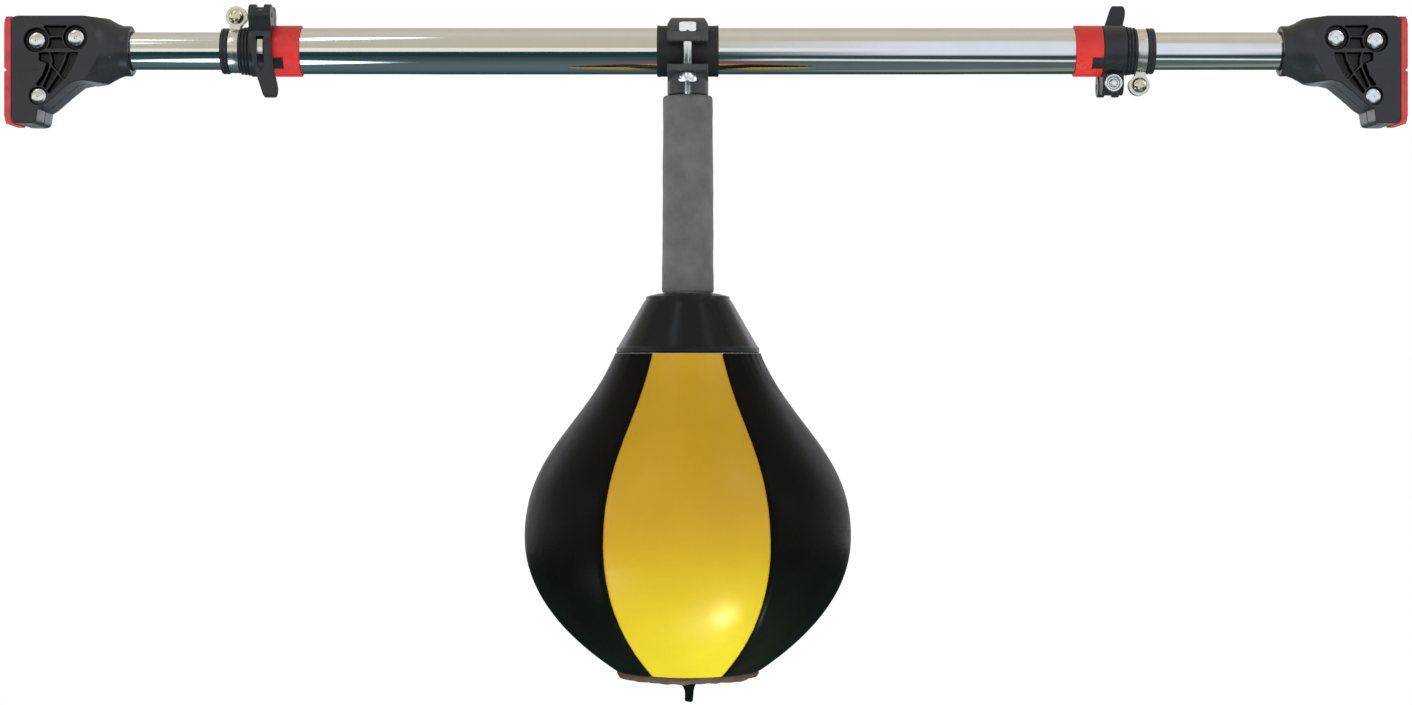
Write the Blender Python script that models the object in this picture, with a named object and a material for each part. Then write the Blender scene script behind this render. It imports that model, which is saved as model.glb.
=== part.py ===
"""Doorway speed bag platform: a telescopic pressure bar with a sprung, panelled ball hung from its middle.

Metres, +Z up. The origin is the middle of the left jamb pad's outer face, on the bar's axis.
+X runs along the bar to the right jamb, and the front of the object looks towards -Y.
"""
import math

import bmesh
import bpy
from mathutils import Matrix, Vector

# ---- driving dimensions ----
ROUND = 20                   # sides of a round piece
FINE = 12                    # sides of a small one
GAP = 0.0003                 # clearance between touching pieces
THROUGH = 0.05               # reach of a cut that goes right through
BAR_SPAN = 0.958             # pad face to pad face as set up
CENTRE_X = 0.4665            # middle of the centre tube, where the ball hangs
COLLAR_X = 0.1455            # outer end of the left lock collar
TUBE_RADIUS = 0.016          # centre tube, 32 mm outside
TUBE_BORE = 0.0145
TUBE_HALF_LENGTH = 0.280
MOUTH_GAP = 0.0020           # room between the tube's end and the lock ring's step
BUSH_LENGTH = 0.030
ROD_RADIUS = 0.013           # inner tubes, 26 mm outside
ROD_BORE = 0.0115
ROD_START = 0.033            # inner tube's end inside its foot
ROD_LENGTH = 0.372
SCREW_RADIUS = 0.006         # central drive screw
SCREW_LEFT = -0.2105
SCREW_RIGHT = 0.2355
ANCHOR_HALF_LENGTH = 0.009
NUT_LENGTH = 0.015

PAD_THICKNESS = 0.0045
FOOT_TOP = 0.022
FOOT_BOTTOM = -0.0515
FOOT_HALF_DEPTH = 0.021
FOOT_MOUTH = 0.083           # end of the foot's neck
NECK_RADIUS = 0.0173
HEEL_X = 0.0221
PAD_GROOVE_Z = -0.0150
FOOT_SCREWS = ((0.0217, 0.0053, 0.0083), (0.0484, 0.0071, 0.0083), (0.0229, -0.0328, 0.0063))
FOOT_SCREW_RADIUS = 0.0025
FOOT_SCREW_HEAD = 0.0059
FOOT_SCREW_END = 0.0150
POCKET_FLOOR = -0.0160        # of the pockets that take the screws' heads
RECESS_DEPTH = 0.0045

FLANGE_RADIUS = 0.0157       # lock collar
SEAT_RADIUS = 0.0140
BODY_RADIUS = 0.0176
COLLAR_LENGTH = 0.0357
STRAP_START = 0.0053
STRAP_WIDTH = 0.0072
STRAP_THICKNESS = 0.0009
RIDGE_START = 0.0128
RIDGE_COUNT = 2
RIDGE_RADIUS = 0.0162
BODY_START = 0.0200
RING_START = 0.0360          # red lock ring, measured from the collar's outer end
RING_LENGTH = 0.0188
RING_RADIUS = 0.0176
TOOTH_LENGTH = 0.0076
TOOTH_MIDDLE = math.radians(-35.0)
TOOTH_HALF_ANGLE = math.radians(13.5)
TOOTH_COUNT = 2
CLAMP_SCREW_Z = 0.0236       # strap screw's height over the bar's axis
STRAP_SCREW_RADIUS = 0.0020
EAR_IN = 0.0020              # the strap's ears lie between these distances from its slit's middle
EAR_OUT = 0.0034
EAR_RADIUS = 0.0072
LEVER_BOLT_RADIUS = 0.0025
EYE_RADIUS = 0.0042
PIN_RADIUS = 0.0015
LEVER_PIVOT = (0.0287, -0.0153, 0.0230)
LEVER_HALF_WIDTH = 0.0076
SLOT_HALF_WIDTH = 0.0026     # the lever's two slots
SLOT_TOP = -0.0150
LUG_HALF_WIDTH = 0.0078
LUG_HALF_DEPTH = 0.0074

LINER_RADIUS = 0.0178        # centre clamp
LINER_LENGTH = 0.0424
CLAMP_BORE = 0.0181
CLAMP_HALF_WIDTH = 0.0140
CLAMP_TOP = 0.0230
CLAMP_HALF_DEPTH = 0.0310
PLATE_TOP = (0.0037, 0.0101)
PLATE_BOTTOM = (-0.0166, -0.0121)
BOLT_Y = 0.0240
BOLT_RADIUS = 0.0030
HEAD_POCKET_RADIUS = 0.0068
HEAD_RADIUS = 0.0064
HEAD_HEIGHT = 0.0066
NUT_HEIGHT = 0.0070          # a clamp bolt's nut
BOLT_END = -0.0320
HANGER_NECK_RADIUS = 0.01415
HANGER_NECK_END = -0.0307
HANGER_HOLE_TOP = -0.0220

SLEEVE_TOP = -0.0310         # foam sleeve over the spring
SLEEVE_BOTTOM = -0.1668
SLEEVE_RADIUS = 0.0178
SPRING_RADIUS = 0.0108       # to the middle of the wire
SPRING_WIRE = 0.0022
SPRING_TOP = -0.0372
SPRING_BOTTOM = -0.1604
SPRING_PITCH = 0.0056
STUD_RADIUS = 0.0074         # the studs that hold the spring's two ends
STUD_COLLAR_RADIUS = 0.0130
UPPER_BEND_Z = -0.0700       # the spring bends fore and aft about here
LOWER_BEND_Z = -0.1300       # and sideways about here
BALL_PLACE = (0.0, 0.0, -LOWER_BEND_Z)   # the bar's axis, seen from the ball's frame

BALL_TOP = -0.2085
BALL_BOTTOM = -0.4263
BALL_RADIUS = 0.1123
BALL_WAIST_Z = -0.3334
PANEL_THICKNESS = 0.0025
BLADDER_THICKNESS = 0.0015
BLADDER_GAP = 0.0017          # slack between the bladder and the flat-sided panels
PANEL_COUNT = 6
VALVE_RADIUS = 0.0040
STUD_FOOT_RADIUS = 0.0058
CAP_TOP_RADIUS = 0.0290
CAP_TOP = -0.1672
CAP_RIM_RADIUS = 0.0494
CAP_RIM_Z = -0.2070
PATCH_DEPTH = 0.0062          # how far the bottom patch bulges
TAIL_END = -0.4495

FINISHES = {
    "chrome": ((0.78, 0.77, 0.74), 0.12, 1.0),
    "screw_steel": ((0.62, 0.62, 0.60), 0.30, 1.0),
    "brass_plated": ((0.72, 0.64, 0.42), 0.28, 1.0),
    "spring_steel": ((0.45, 0.45, 0.46), 0.35, 1.0),
    "black_plastic": ((0.035, 0.036, 0.040), 0.40, 0.0),
    "red_plastic": ((0.80, 0.05, 0.04), 0.35, 0.0),
    "red_rubber": ((0.62, 0.07, 0.08), 0.75, 0.0),
    "black_rubber": ((0.030, 0.030, 0.032), 0.80, 0.0),
    "grey_foam": ((0.17, 0.17, 0.17), 0.85, 0.0),
    "yellow_leather": ((0.85, 0.60, 0.04), 0.38, 0.0),
    "black_leather": ((0.018, 0.018, 0.019), 0.35, 0.0),
}


# ---- small tools ----
def clear_scene():
    for item in list(bpy.data.objects):
        bpy.data.objects.remove(item, do_unlink=True)


def finish(name):
    """The shared material of one finish."""
    found = bpy.data.materials.get(name)
    if found:
        return found
    colour, roughness, metallic = FINISHES[name]
    made = bpy.data.materials.new(name)
    made.use_nodes = True
    shader = made.node_tree.nodes["Principled BSDF"]
    shader.inputs["Base Color"].default_value = (*colour, 1.0)
    shader.inputs["Roughness"].default_value = roughness
    shader.inputs["Metallic"].default_value = metallic
    made.diffuse_color = (*colour, 1.0)
    return made


def frame_at(name, place, turn=None):
    """An empty that carries one moving body, on its joint's axis."""
    empty = bpy.data.objects.new(name, None)
    bpy.context.collection.objects.link(empty)
    empty.matrix_world = Matrix.Translation(place) @ (turn or Matrix())
    return empty


def add_object(name, shape, frame, look=None, mirror=False):
    """Turn a bmesh into an object of a frame. A mirrored one has its X reversed and its faces turned back."""
    if mirror:
        bmesh.ops.scale(shape, vec=(-1.0, 1.0, 1.0), verts=shape.verts)
    bmesh.ops.remove_doubles(shape, verts=shape.verts, dist=1e-6)
    bmesh.ops.recalc_face_normals(shape, faces=shape.faces)
    mesh = bpy.data.meshes.new(name)
    shape.to_mesh(mesh)
    shape.free()
    piece = bpy.data.objects.new(name, mesh)
    bpy.context.collection.objects.link(piece)
    piece.parent = frame
    if look:
        mesh.materials.append(finish(look))
        mesh.shade_smooth()
        mesh.set_sharp_from_angle(angle=math.radians(32.0))
    return piece


def combine(target, shape, operation, mirror=False):
    """A Boolean of the target with a bmesh, which becomes a hidden guide in the target's own frame."""
    guide = add_object(f"{target.name}_guide{len(target.modifiers)}", shape, target.parent, mirror=mirror)
    guide.hide_render = True
    guide.display_type = "WIRE"
    step = target.modifiers.new(guide.name, "BOOLEAN")
    step.operation = operation
    step.solver = "EXACT"
    step.object = guide
    return guide


def cut(target, shape, mirror=False):
    return combine(target, shape, "DIFFERENCE", mirror)


def axis_turn(axis):
    """The turn that takes +Z to the named axis."""
    turns = {
        "Z": Matrix(),
        "X": Matrix.Rotation(math.radians(90.0), 4, "Y"),
        "Y": Matrix.Rotation(math.radians(-90.0), 4, "X"),
    }
    return turns[axis]


def turned(outline, axis="Z", place=(0.0, 0.0, 0.0), sides=ROUND, first=0.0, sweep=math.tau):
    """Turn a closed outline of (radius, height) points about an axis.

    A part turn is closed with two end faces.
    """
    shape = bmesh.new()
    full = abs(sweep - math.tau) < 1e-9
    columns = []
    for step in range(sides if full else sides + 1):
        angle = first + sweep * step / sides
        column = []
        for radius, height in outline:
            column.append(shape.verts.new((radius * math.cos(angle), radius * math.sin(angle), height)))
        columns.append(column)
    count = len(outline)
    for step in range(sides):
        this, after = columns[step], columns[(step + 1) % len(columns)]
        for low in range(count):
            high = (low + 1) % count
            corners = [this[low], after[low], after[high], this[high]]
            if outline[low][0] < 1e-9:
                corners.remove(after[low])
            if outline[high][0] < 1e-9:
                corners.remove(after[high])
            if len(corners) > 2:
                shape.faces.new(corners)
    if not full:
        shape.faces.new(columns[0])
        shape.faces.new(columns[-1])
    bmesh.ops.remove_doubles(shape, verts=shape.verts, dist=1e-6)
    bmesh.ops.transform(shape, matrix=Matrix.Translation(place) @ axis_turn(axis), verts=shape.verts)
    return shape


def cylinder(radius, low, high, axis="Z", place=(0.0, 0.0, 0.0), sides=ROUND, chamfer=0.0):
    """A cylinder between two heights on an axis, with its end edges chamfered."""
    outline = [(0.0, low), (radius - chamfer, low), (radius, low + chamfer), (radius, high - chamfer),
               (radius - chamfer, high), (0.0, high)]
    if chamfer == 0.0:
        outline = [(0.0, low), (radius, low), (radius, high), (0.0, high)]
    return turned(outline, axis, place, sides)


def ring(outer, inner, low, high, axis="Z", place=(0.0, 0.0, 0.0), sides=ROUND):
    return turned([(inner, low), (outer, low), (outer, high), (inner, high)], axis, place, sides)


def box(low, high):
    shape = bmesh.new()
    bmesh.ops.create_cube(shape, size=1.0)
    low, high = Vector(low), Vector(high)
    for vert in shape.verts:
        for i in range(3):
            vert.co[i] = low[i] if vert.co[i] < 0 else high[i]
    return shape


def prism(outline, low, high, plane="XZ"):
    """An outline in the XZ or YZ plane, extruded between two places on the third axis."""
    shape = bmesh.new()
    rows = []
    for depth in (low, high):
        row = []
        for a, b in outline:
            point = (a, depth, b) if plane == "XZ" else (depth, a, b)
            row.append(shape.verts.new(point))
        rows.append(row)
    shape.faces.new(rows[0])
    shape.faces.new(reversed(rows[1]))
    for i in range(len(outline)):
        j = (i + 1) % len(outline)
        shape.faces.new((rows[0][i], rows[1][i], rows[1][j], rows[0][j]))
    return shape


def arc(centre, radius, start, end, steps):
    """Points of an arc, in degrees, both ends included."""
    points = []
    for i in range(steps + 1):
        angle = math.radians(start + (end - start) * i / steps)
        points.append((centre[0] + radius * math.cos(angle), centre[1] + radius * math.sin(angle)))
    return points


def merged(*shapes):
    """One bmesh that holds several, as separate shells."""
    whole = bmesh.new()
    for shape in shapes:
        mesh = bpy.data.meshes.new("merging")
        shape.to_mesh(mesh)
        shape.free()
        whole.from_mesh(mesh)
        bpy.data.meshes.remove(mesh)
    return whole


def sector(inner, outer, low, high, middle, half_angle, sides=2):
    """A block between two radii about the X axis; angles run from the front, upwards."""
    outline = [(inner, low), (outer, low), (outer, high), (inner, high)]
    shape = turned(outline, "Z", sides=sides, first=math.pi - middle - half_angle, sweep=2.0 * half_angle)
    swap = Matrix(((0, 0, 1, 0), (1, 0, 0, 0), (0, 1, 0, 0), (0, 0, 0, 1)))
    bmesh.ops.transform(shape, matrix=swap, verts=shape.verts)
    return shape


# ---- centre tube and the drive inside it ----
def build_centre_bar(frame):
    tube = ring(TUBE_RADIUS, TUBE_BORE, -TUBE_HALF_LENGTH, TUBE_HALF_LENGTH, "X")
    add_object("centre_tube", tube, frame, "chrome")
    screw = cylinder(SCREW_RADIUS, SCREW_LEFT, SCREW_RIGHT, "X", sides=FINE, chamfer=0.001)
    add_object("drive_screw", screw, frame, "screw_steel")
    anchor = ring(TUBE_BORE - GAP, SCREW_RADIUS + GAP, -ANCHOR_HALF_LENGTH, ANCHOR_HALF_LENGTH, "X")
    add_object("screw_anchor", anchor, frame, "black_plastic")
    for side, mirror in (("left", False), ("right", True)):
        build_lock_ring(f"{side}_lock_ring", frame, mirror)
        build_mouth_bush(f"{side}_mouth_bush", frame, mirror)


def build_lock_ring(name, frame, mirror):
    """The red ring fixed on the tube's end, with notches that take the lock collar's teeth."""
    start = COLLAR_X + RING_START - CENTRE_X
    end = start + RING_LENGTH
    step = -TUBE_HALF_LENGTH - MOUTH_GAP
    outline = [(ROD_RADIUS + GAP, start), (RING_RADIUS, start), (RING_RADIUS, end), (TUBE_RADIUS + GAP, end),
               (TUBE_RADIUS + GAP, step), (ROD_RADIUS + GAP, step)]
    piece = add_object(name, turned(outline, "X"), frame, "red_plastic", mirror)
    notches = []
    for i in range(TOOTH_COUNT):
        middle = TOOTH_MIDDLE + math.tau * i / TOOTH_COUNT
        notches.append(sector(TUBE_RADIUS + GAP, RING_RADIUS + 0.002, start - 0.001,
                              start + TOOTH_LENGTH + GAP, middle, TOOTH_HALF_ANGLE + 0.02))
    cut(piece, merged(*notches), mirror)


def build_mouth_bush(name, frame, mirror):
    """The thin plastic bush that guides an inner tube in the centre tube's mouth."""
    mouth = -TUBE_HALF_LENGTH
    lip = mouth - MOUTH_GAP + GAP
    end = mouth + BUSH_LENGTH
    outline = [(ROD_RADIUS + GAP, lip), (TUBE_RADIUS - GAP, lip), (TUBE_RADIUS - GAP, mouth - GAP),
               (TUBE_BORE - GAP, mouth - GAP), (TUBE_BORE - GAP, end), (ROD_RADIUS + GAP, end)]
    add_object(name, turned(outline, "X"), frame, "black_plastic", mirror)


# ---- centre clamp ----
def clamp_half_outline(top):
    """The clamp's side view, in the YZ plane, of the cap or of the saddle, before the bore is cut."""
    low, high = PLATE_TOP if top else PLATE_BOTTOM
    inner = low if top else high
    outer = high if top else low
    crown = CLAMP_TOP if top else -CLAMP_BORE - 0.0030
    start, end = (26.0, 154.0) if top else (-52.0, -128.0)
    shoulder = []
    for y, z in arc((0.0, 0.0), abs(crown), start, end, 10):
        shoulder.append((y, z))
    points = [(-CLAMP_HALF_DEPTH, inner), (-CLAMP_HALF_DEPTH, outer)]
    points.extend(reversed(shoulder))
    points.extend([(CLAMP_HALF_DEPTH, outer), (CLAMP_HALF_DEPTH, inner)])
    return points


def bolt_holes():
    holes = []
    for y in (-BOLT_Y, BOLT_Y):
        holes.append(cylinder(BOLT_RADIUS + GAP, -THROUGH, THROUGH, place=(0.0, y, 0.0), sides=FINE))
    return holes


def build_clamp(frame):
    """The liner, the cap over the tube and the saddle under it, which carries the spring's hanger."""
    half = LINER_LENGTH / 2
    liner = ring(LINER_RADIUS, TUBE_RADIUS + GAP, -half, half, "X")
    add_object("clamp_liner", liner, frame, "black_rubber")

    cap_block = prism(clamp_half_outline(True), -CLAMP_HALF_WIDTH, CLAMP_HALF_WIDTH, "YZ")
    cap = add_object("clamp_cap", cap_block, frame, "black_plastic")
    cut(cap, merged(cylinder(CLAMP_BORE, -THROUGH, THROUGH, "X"), *bolt_holes()))
    pockets = []
    for y in (-BOLT_Y, BOLT_Y):
        pockets.append(cylinder(HEAD_POCKET_RADIUS, PLATE_TOP[1], 0.03, place=(0.0, y, 0.0), sides=FINE))
    cut(cap, merged(*pockets))

    saddle_block = prism(clamp_half_outline(False), -CLAMP_HALF_WIDTH, CLAMP_HALF_WIDTH, "YZ")
    saddle = add_object("clamp_saddle", saddle_block, frame, "black_plastic")
    neck = cylinder(HANGER_NECK_RADIUS, HANGER_NECK_END, -TUBE_RADIUS, chamfer=0.0005)
    combine(saddle, neck, "UNION")
    cut(saddle, cylinder(CLAMP_BORE, -THROUGH, THROUGH, "X"))
    thread_hole = cylinder(SCREW_RADIUS + GAP, -0.04, HANGER_HOLE_TOP, sides=FINE)
    cut(saddle, merged(thread_hole, *bolt_holes()))


def build_clamp_bolts(frame):
    """A bolt and a nut on each side of the tube."""
    head = PLATE_TOP[1] + GAP
    seat = PLATE_BOTTOM[0] - GAP
    foot = seat - NUT_HEIGHT
    edge = 0.0008
    bolt = [(0.0, BOLT_END), (BOLT_RADIUS - edge, BOLT_END), (BOLT_RADIUS, BOLT_END + edge),
            (BOLT_RADIUS, head), (HEAD_RADIUS - edge, head), (HEAD_RADIUS, head + edge),
            (HEAD_RADIUS, head + HEAD_HEIGHT - edge), (HEAD_RADIUS - edge, head + HEAD_HEIGHT),
            (0.0, head + HEAD_HEIGHT)]
    nut = [(BOLT_RADIUS + GAP, foot), (HEAD_RADIUS - edge, foot), (HEAD_RADIUS, foot + edge),
           (HEAD_RADIUS, seat - 0.0030), (HEAD_RADIUS - 0.0018, seat), (BOLT_RADIUS + GAP, seat)]
    for side, y in (("front", -BOLT_Y), ("rear", BOLT_Y)):
        place = (0.0, y, 0.0)
        add_object(f"{side}_clamp_bolt", turned(bolt, place=place, sides=FINE), frame, "screw_steel")
        add_object(f"{side}_clamp_nut", turned(nut, place=place, sides=FINE), frame, "screw_steel")


def build_hanger(frame):
    """The stud that screws into the saddle and fills the top of the spring."""
    end = -0.0620
    collar = HANGER_NECK_END - GAP
    seat = collar - 0.0035
    outline = [(0.0, end), (STUD_RADIUS - 0.001, end), (STUD_RADIUS, end + 0.001), (STUD_RADIUS, seat),
               (STUD_COLLAR_RADIUS, seat), (STUD_COLLAR_RADIUS, collar), (SCREW_RADIUS, collar),
               (SCREW_RADIUS, HANGER_HOLE_TOP - GAP), (0.0, HANGER_HOLE_TOP - GAP)]
    add_object("spring_hanger", turned(outline, sides=FINE), frame, "screw_steel")


# ---- bar ends ----
def foot_outline():
    """The foot's side view, heel to neck, in the XZ plane."""
    corner = 0.004
    back = PAD_THICKNESS + GAP
    points = [(back, FOOT_TOP - corner)]
    points.extend(arc((back + corner, FOOT_TOP - corner), corner, 165.0, 90.0, 3))
    points.extend([(0.0690, FOOT_TOP), (0.0860, 0.0200), (0.0860, -0.0200), (0.0640, -0.0228)])
    points.extend([(0.0520, -0.0222), (0.0455, -0.0236)])
    points.extend([(0.0355, -0.0310), (0.0262, -0.0388), (HEEL_X + 0.0006, -0.0410)])
    points.extend(arc((HEEL_X - corner, FOOT_BOTTOM + corner), corner, 0.0, -90.0, 4))
    points.extend(arc((back + corner, FOOT_BOTTOM + corner), corner, -90.0, -165.0, 3))
    return points


def nose_shape():
    """An elliptical taper that rounds the square foot down to its neck.

    Its stations are (x, y radius, z radius).
    """
    stations = ((0.000, 0.110, 0.110), (0.046, 0.040, 0.040), (0.055, 0.0290, 0.0310),
                (0.059, 0.0245, 0.0275), (0.063, 0.0210, 0.0244), (0.0695, 0.0186, 0.0213),
                (0.0737, 0.0176, 0.0186), (0.0775, NECK_RADIUS, NECK_RADIUS),
                (FOOT_MOUTH - 0.0006, NECK_RADIUS, NECK_RADIUS),
                (FOOT_MOUTH, NECK_RADIUS - 0.0006, NECK_RADIUS - 0.0006))
    shape = bmesh.new()
    rings = []
    for x, y_radius, z_radius in stations:
        loop = []
        for i in range(ROUND):
            angle = math.tau * i / ROUND
            loop.append(shape.verts.new((x, y_radius * math.cos(angle), z_radius * math.sin(angle))))
        rings.append(loop)
    for this, after in zip(rings, rings[1:]):
        for i in range(ROUND):
            j = (i + 1) % ROUND
            shape.faces.new((this[i], this[j], after[j], after[i]))
    shape.faces.new(rings[0])
    shape.faces.new(rings[-1])
    return shape


def recess_shapes(low, high):
    """The moulded pockets in a foot shell's face, left between its ribs."""
    upper = [(0.0330, 0.0150), (0.0375, 0.0150), (0.0385, 0.0070), (0.0375, -0.0010), (0.0330, -0.0010),
             (0.0320, 0.0070)]
    outer_channel = [(0.0395, -0.0040), (0.0455, -0.0040), (0.0430, -0.0130), (0.0400, -0.0180),
                     (0.0360, -0.0150), (0.0385, -0.0090)]
    middle_channel = [(0.0310, -0.0040), (0.0375, -0.0040), (0.0365, -0.0090), (0.0340, -0.0140),
                      (0.0295, -0.0110)]
    lower_channel = [(0.0275, -0.0135), (0.0320, -0.0165), (0.0270, -0.0235), (0.0225, -0.0225)]
    outer_lower = [(0.0345, -0.0180), (0.0385, -0.0205), (0.0320, -0.0300), (0.0305, -0.0270)]
    shapes = []
    for outline in (upper, outer_channel, middle_channel, lower_channel, outer_lower):
        shapes.append(prism(outline, low, high))
    return shapes


def screw_bore(half_name, pocket):
    """A foot screw's hole in one half of a foot. The front half also has the pocket for its head."""
    hole = FOOT_SCREW_RADIUS + GAP
    end = FOOT_SCREW_END + 0.0005
    if half_name == "front":
        return [(0.0, -0.030), (pocket, -0.030), (pocket, POCKET_FLOOR), (hole, POCKET_FLOOR), (hole, end),
                (0.0, end)]
    return [(0.0, -0.001), (hole, -0.001), (hole, end), (0.0, end)]


def build_foot_shells(side, frame, mirror):
    """The two moulded halves of a foot, split in the plane of the bar's axis."""
    half = FOOT_HALF_DEPTH
    for half_name, low, high in (("front", -half, -GAP / 2), ("rear", GAP / 2, half)):
        block = prism(foot_outline(), low, high)
        shell = add_object(f"{side}_foot_{half_name}_shell", block, frame, "black_plastic", mirror)
        combine(shell, nose_shape(), "INTERSECT", mirror)
        cut(shell, cylinder(ROD_RADIUS + GAP, ROD_START - GAP, 0.1, "X"), mirror)
        face = -half if half_name == "front" else half
        inward = 1.0 if half_name == "front" else -1.0
        low_cut, high_cut = sorted((face - inward * 0.002, face + inward * RECESS_DEPTH))
        cut(shell, merged(*recess_shapes(low_cut, high_cut)), mirror)
        pockets = []
        for x, z, pocket in FOOT_SCREWS:
            pockets.append(turned(screw_bore(half_name, pocket), "Y", (x, 0.0, z), sides=FINE))
        cut(shell, merged(*pockets), mirror)


def build_foot_pad(side, frame, mirror):
    half = FOOT_HALF_DEPTH
    corner = 0.005
    corners = ((half - corner, FOOT_TOP - corner, 0.0), (-half + corner, FOOT_TOP - corner, 90.0),
               (-half + corner, FOOT_BOTTOM + corner, 180.0), (half - corner, FOOT_BOTTOM + corner, 270.0))
    outline = []
    for y, z, start in corners:
        outline.extend(arc((y, z), corner, start, start + 90.0, 4))
    slab = prism(outline, 0.0, PAD_THICKNESS, "YZ")
    pad = add_object(f"{side}_foot_pad", slab, frame, "red_rubber", mirror)
    groove = box((-0.001, -0.03, PAD_GROOVE_Z - 0.0009), (0.0015, 0.03, PAD_GROOVE_Z + 0.0009))
    cut(pad, groove, mirror)


def build_foot_screws(side, frame, mirror):
    under = POCKET_FLOOR - GAP
    dome = [(0.0, under - 0.0033), (0.0030, under - 0.0029), (0.0050, under - 0.0019),
            (FOOT_SCREW_HEAD, under - 0.0007), (FOOT_SCREW_HEAD, under), (FOOT_SCREW_RADIUS, under),
            (FOOT_SCREW_RADIUS, FOOT_SCREW_END - 0.001), (0.0, FOOT_SCREW_END)]
    for number, (x, z, _) in enumerate(FOOT_SCREWS, 1):
        screw = turned(dome, "Y", (x, 0.0, z), sides=FINE)
        add_object(f"{side}_foot_screw_{number}", screw, frame, "screw_steel", mirror)


def build_inner_tube(side, frame, mirror):
    """The telescopic tube, crossed by one foot screw, and the drive nut in its inner end."""
    end = ROD_START + ROD_LENGTH
    tube = add_object(f"{side}_inner_tube", ring(ROD_RADIUS, ROD_BORE, ROD_START, end, "X"),
                      frame, "chrome", mirror)
    pin_x, pin_z, _ = FOOT_SCREWS[1]
    hole = cylinder(FOOT_SCREW_RADIUS + GAP, -0.02, 0.02, "Y", (pin_x, 0.0, pin_z), sides=FINE)
    cut(tube, hole, mirror)
    nut = ring(ROD_BORE - GAP, SCREW_RADIUS + GAP, end - NUT_LENGTH, end, "X", sides=FINE)
    add_object(f"{side}_drive_nut", nut, frame, "brass_plated", mirror)


def build_foot(side, frame, mirror):
    build_foot_shells(side, frame, mirror)
    build_foot_pad(side, frame, mirror)
    build_foot_screws(side, frame, mirror)
    build_inner_tube(side, frame, mirror)


# ---- lock collars ----
def collar_profile():
    """The split collar's outside, from the flange to the toothed end, with its ridges."""
    points = [(ROD_RADIUS + GAP, 0.0), (FLANGE_RADIUS, 0.0), (FLANGE_RADIUS, STRAP_START - GAP),
              (SEAT_RADIUS, STRAP_START - GAP), (SEAT_RADIUS, RIDGE_START)]
    ridge_pitch = (BODY_START - RIDGE_START) / RIDGE_COUNT
    for i in range(RIDGE_COUNT):
        x = RIDGE_START + i * ridge_pitch
        points.append((RIDGE_RADIUS, x))
        points.append((RIDGE_RADIUS, x + ridge_pitch * 0.6))
        points.append((RIDGE_RADIUS - 0.0008, x + ridge_pitch * 0.6))
        points.append((RIDGE_RADIUS - 0.0008, x + ridge_pitch))
    points.extend([(BODY_RADIUS, BODY_START), (BODY_RADIUS, COLLAR_LENGTH)])
    points.append((ROD_RADIUS + GAP, COLLAR_LENGTH))
    return points


def build_collar(side, frame):
    """A collar in its own frame: the outer end at the origin and the centre of the bar towards +X."""
    piece = add_object(f"{side}_lock_collar", turned(collar_profile(), "X"), frame, "black_plastic")
    pivot_x, _, pivot_z = LEVER_PIVOT
    lug = [(-LUG_HALF_DEPTH, 0.0150), (LUG_HALF_DEPTH, 0.0150)]
    lug.extend(arc((0.0, pivot_z - 0.0010), LUG_HALF_DEPTH, 0.0, 180.0, 6))
    combine(piece, prism(lug, pivot_x - LUG_HALF_WIDTH, COLLAR_LENGTH, "YZ"), "UNION")
    teeth = []
    first = TOOTH_MIDDLE if side == "left" else -TOOTH_MIDDLE
    for i in range(TOOTH_COUNT):
        middle = first + math.tau * i / TOOTH_COUNT
        teeth.append(sector(TUBE_RADIUS + 2 * GAP, BODY_RADIUS - 0.0002, COLLAR_LENGTH - 0.002,
                            RING_START + TOOTH_LENGTH - GAP, middle, TOOTH_HALF_ANGLE))
    combine(piece, merged(*teeth), "UNION")
    slit = box((-0.001, -0.0009, 0.0100), (COLLAR_LENGTH + 0.001, 0.0009, 0.0400))
    cut(piece, slit)
    bolt_hole = cylinder(LEVER_BOLT_RADIUS + GAP, -0.02, 0.02, "Y", (pivot_x, 0.0, pivot_z), sides=FINE)
    cut(piece, merged(cylinder(ROD_RADIUS + GAP, -0.001, THROUGH, "X"), bolt_hole))
    build_strap(side, frame)
    build_lever_bolt(side, frame)


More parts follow.
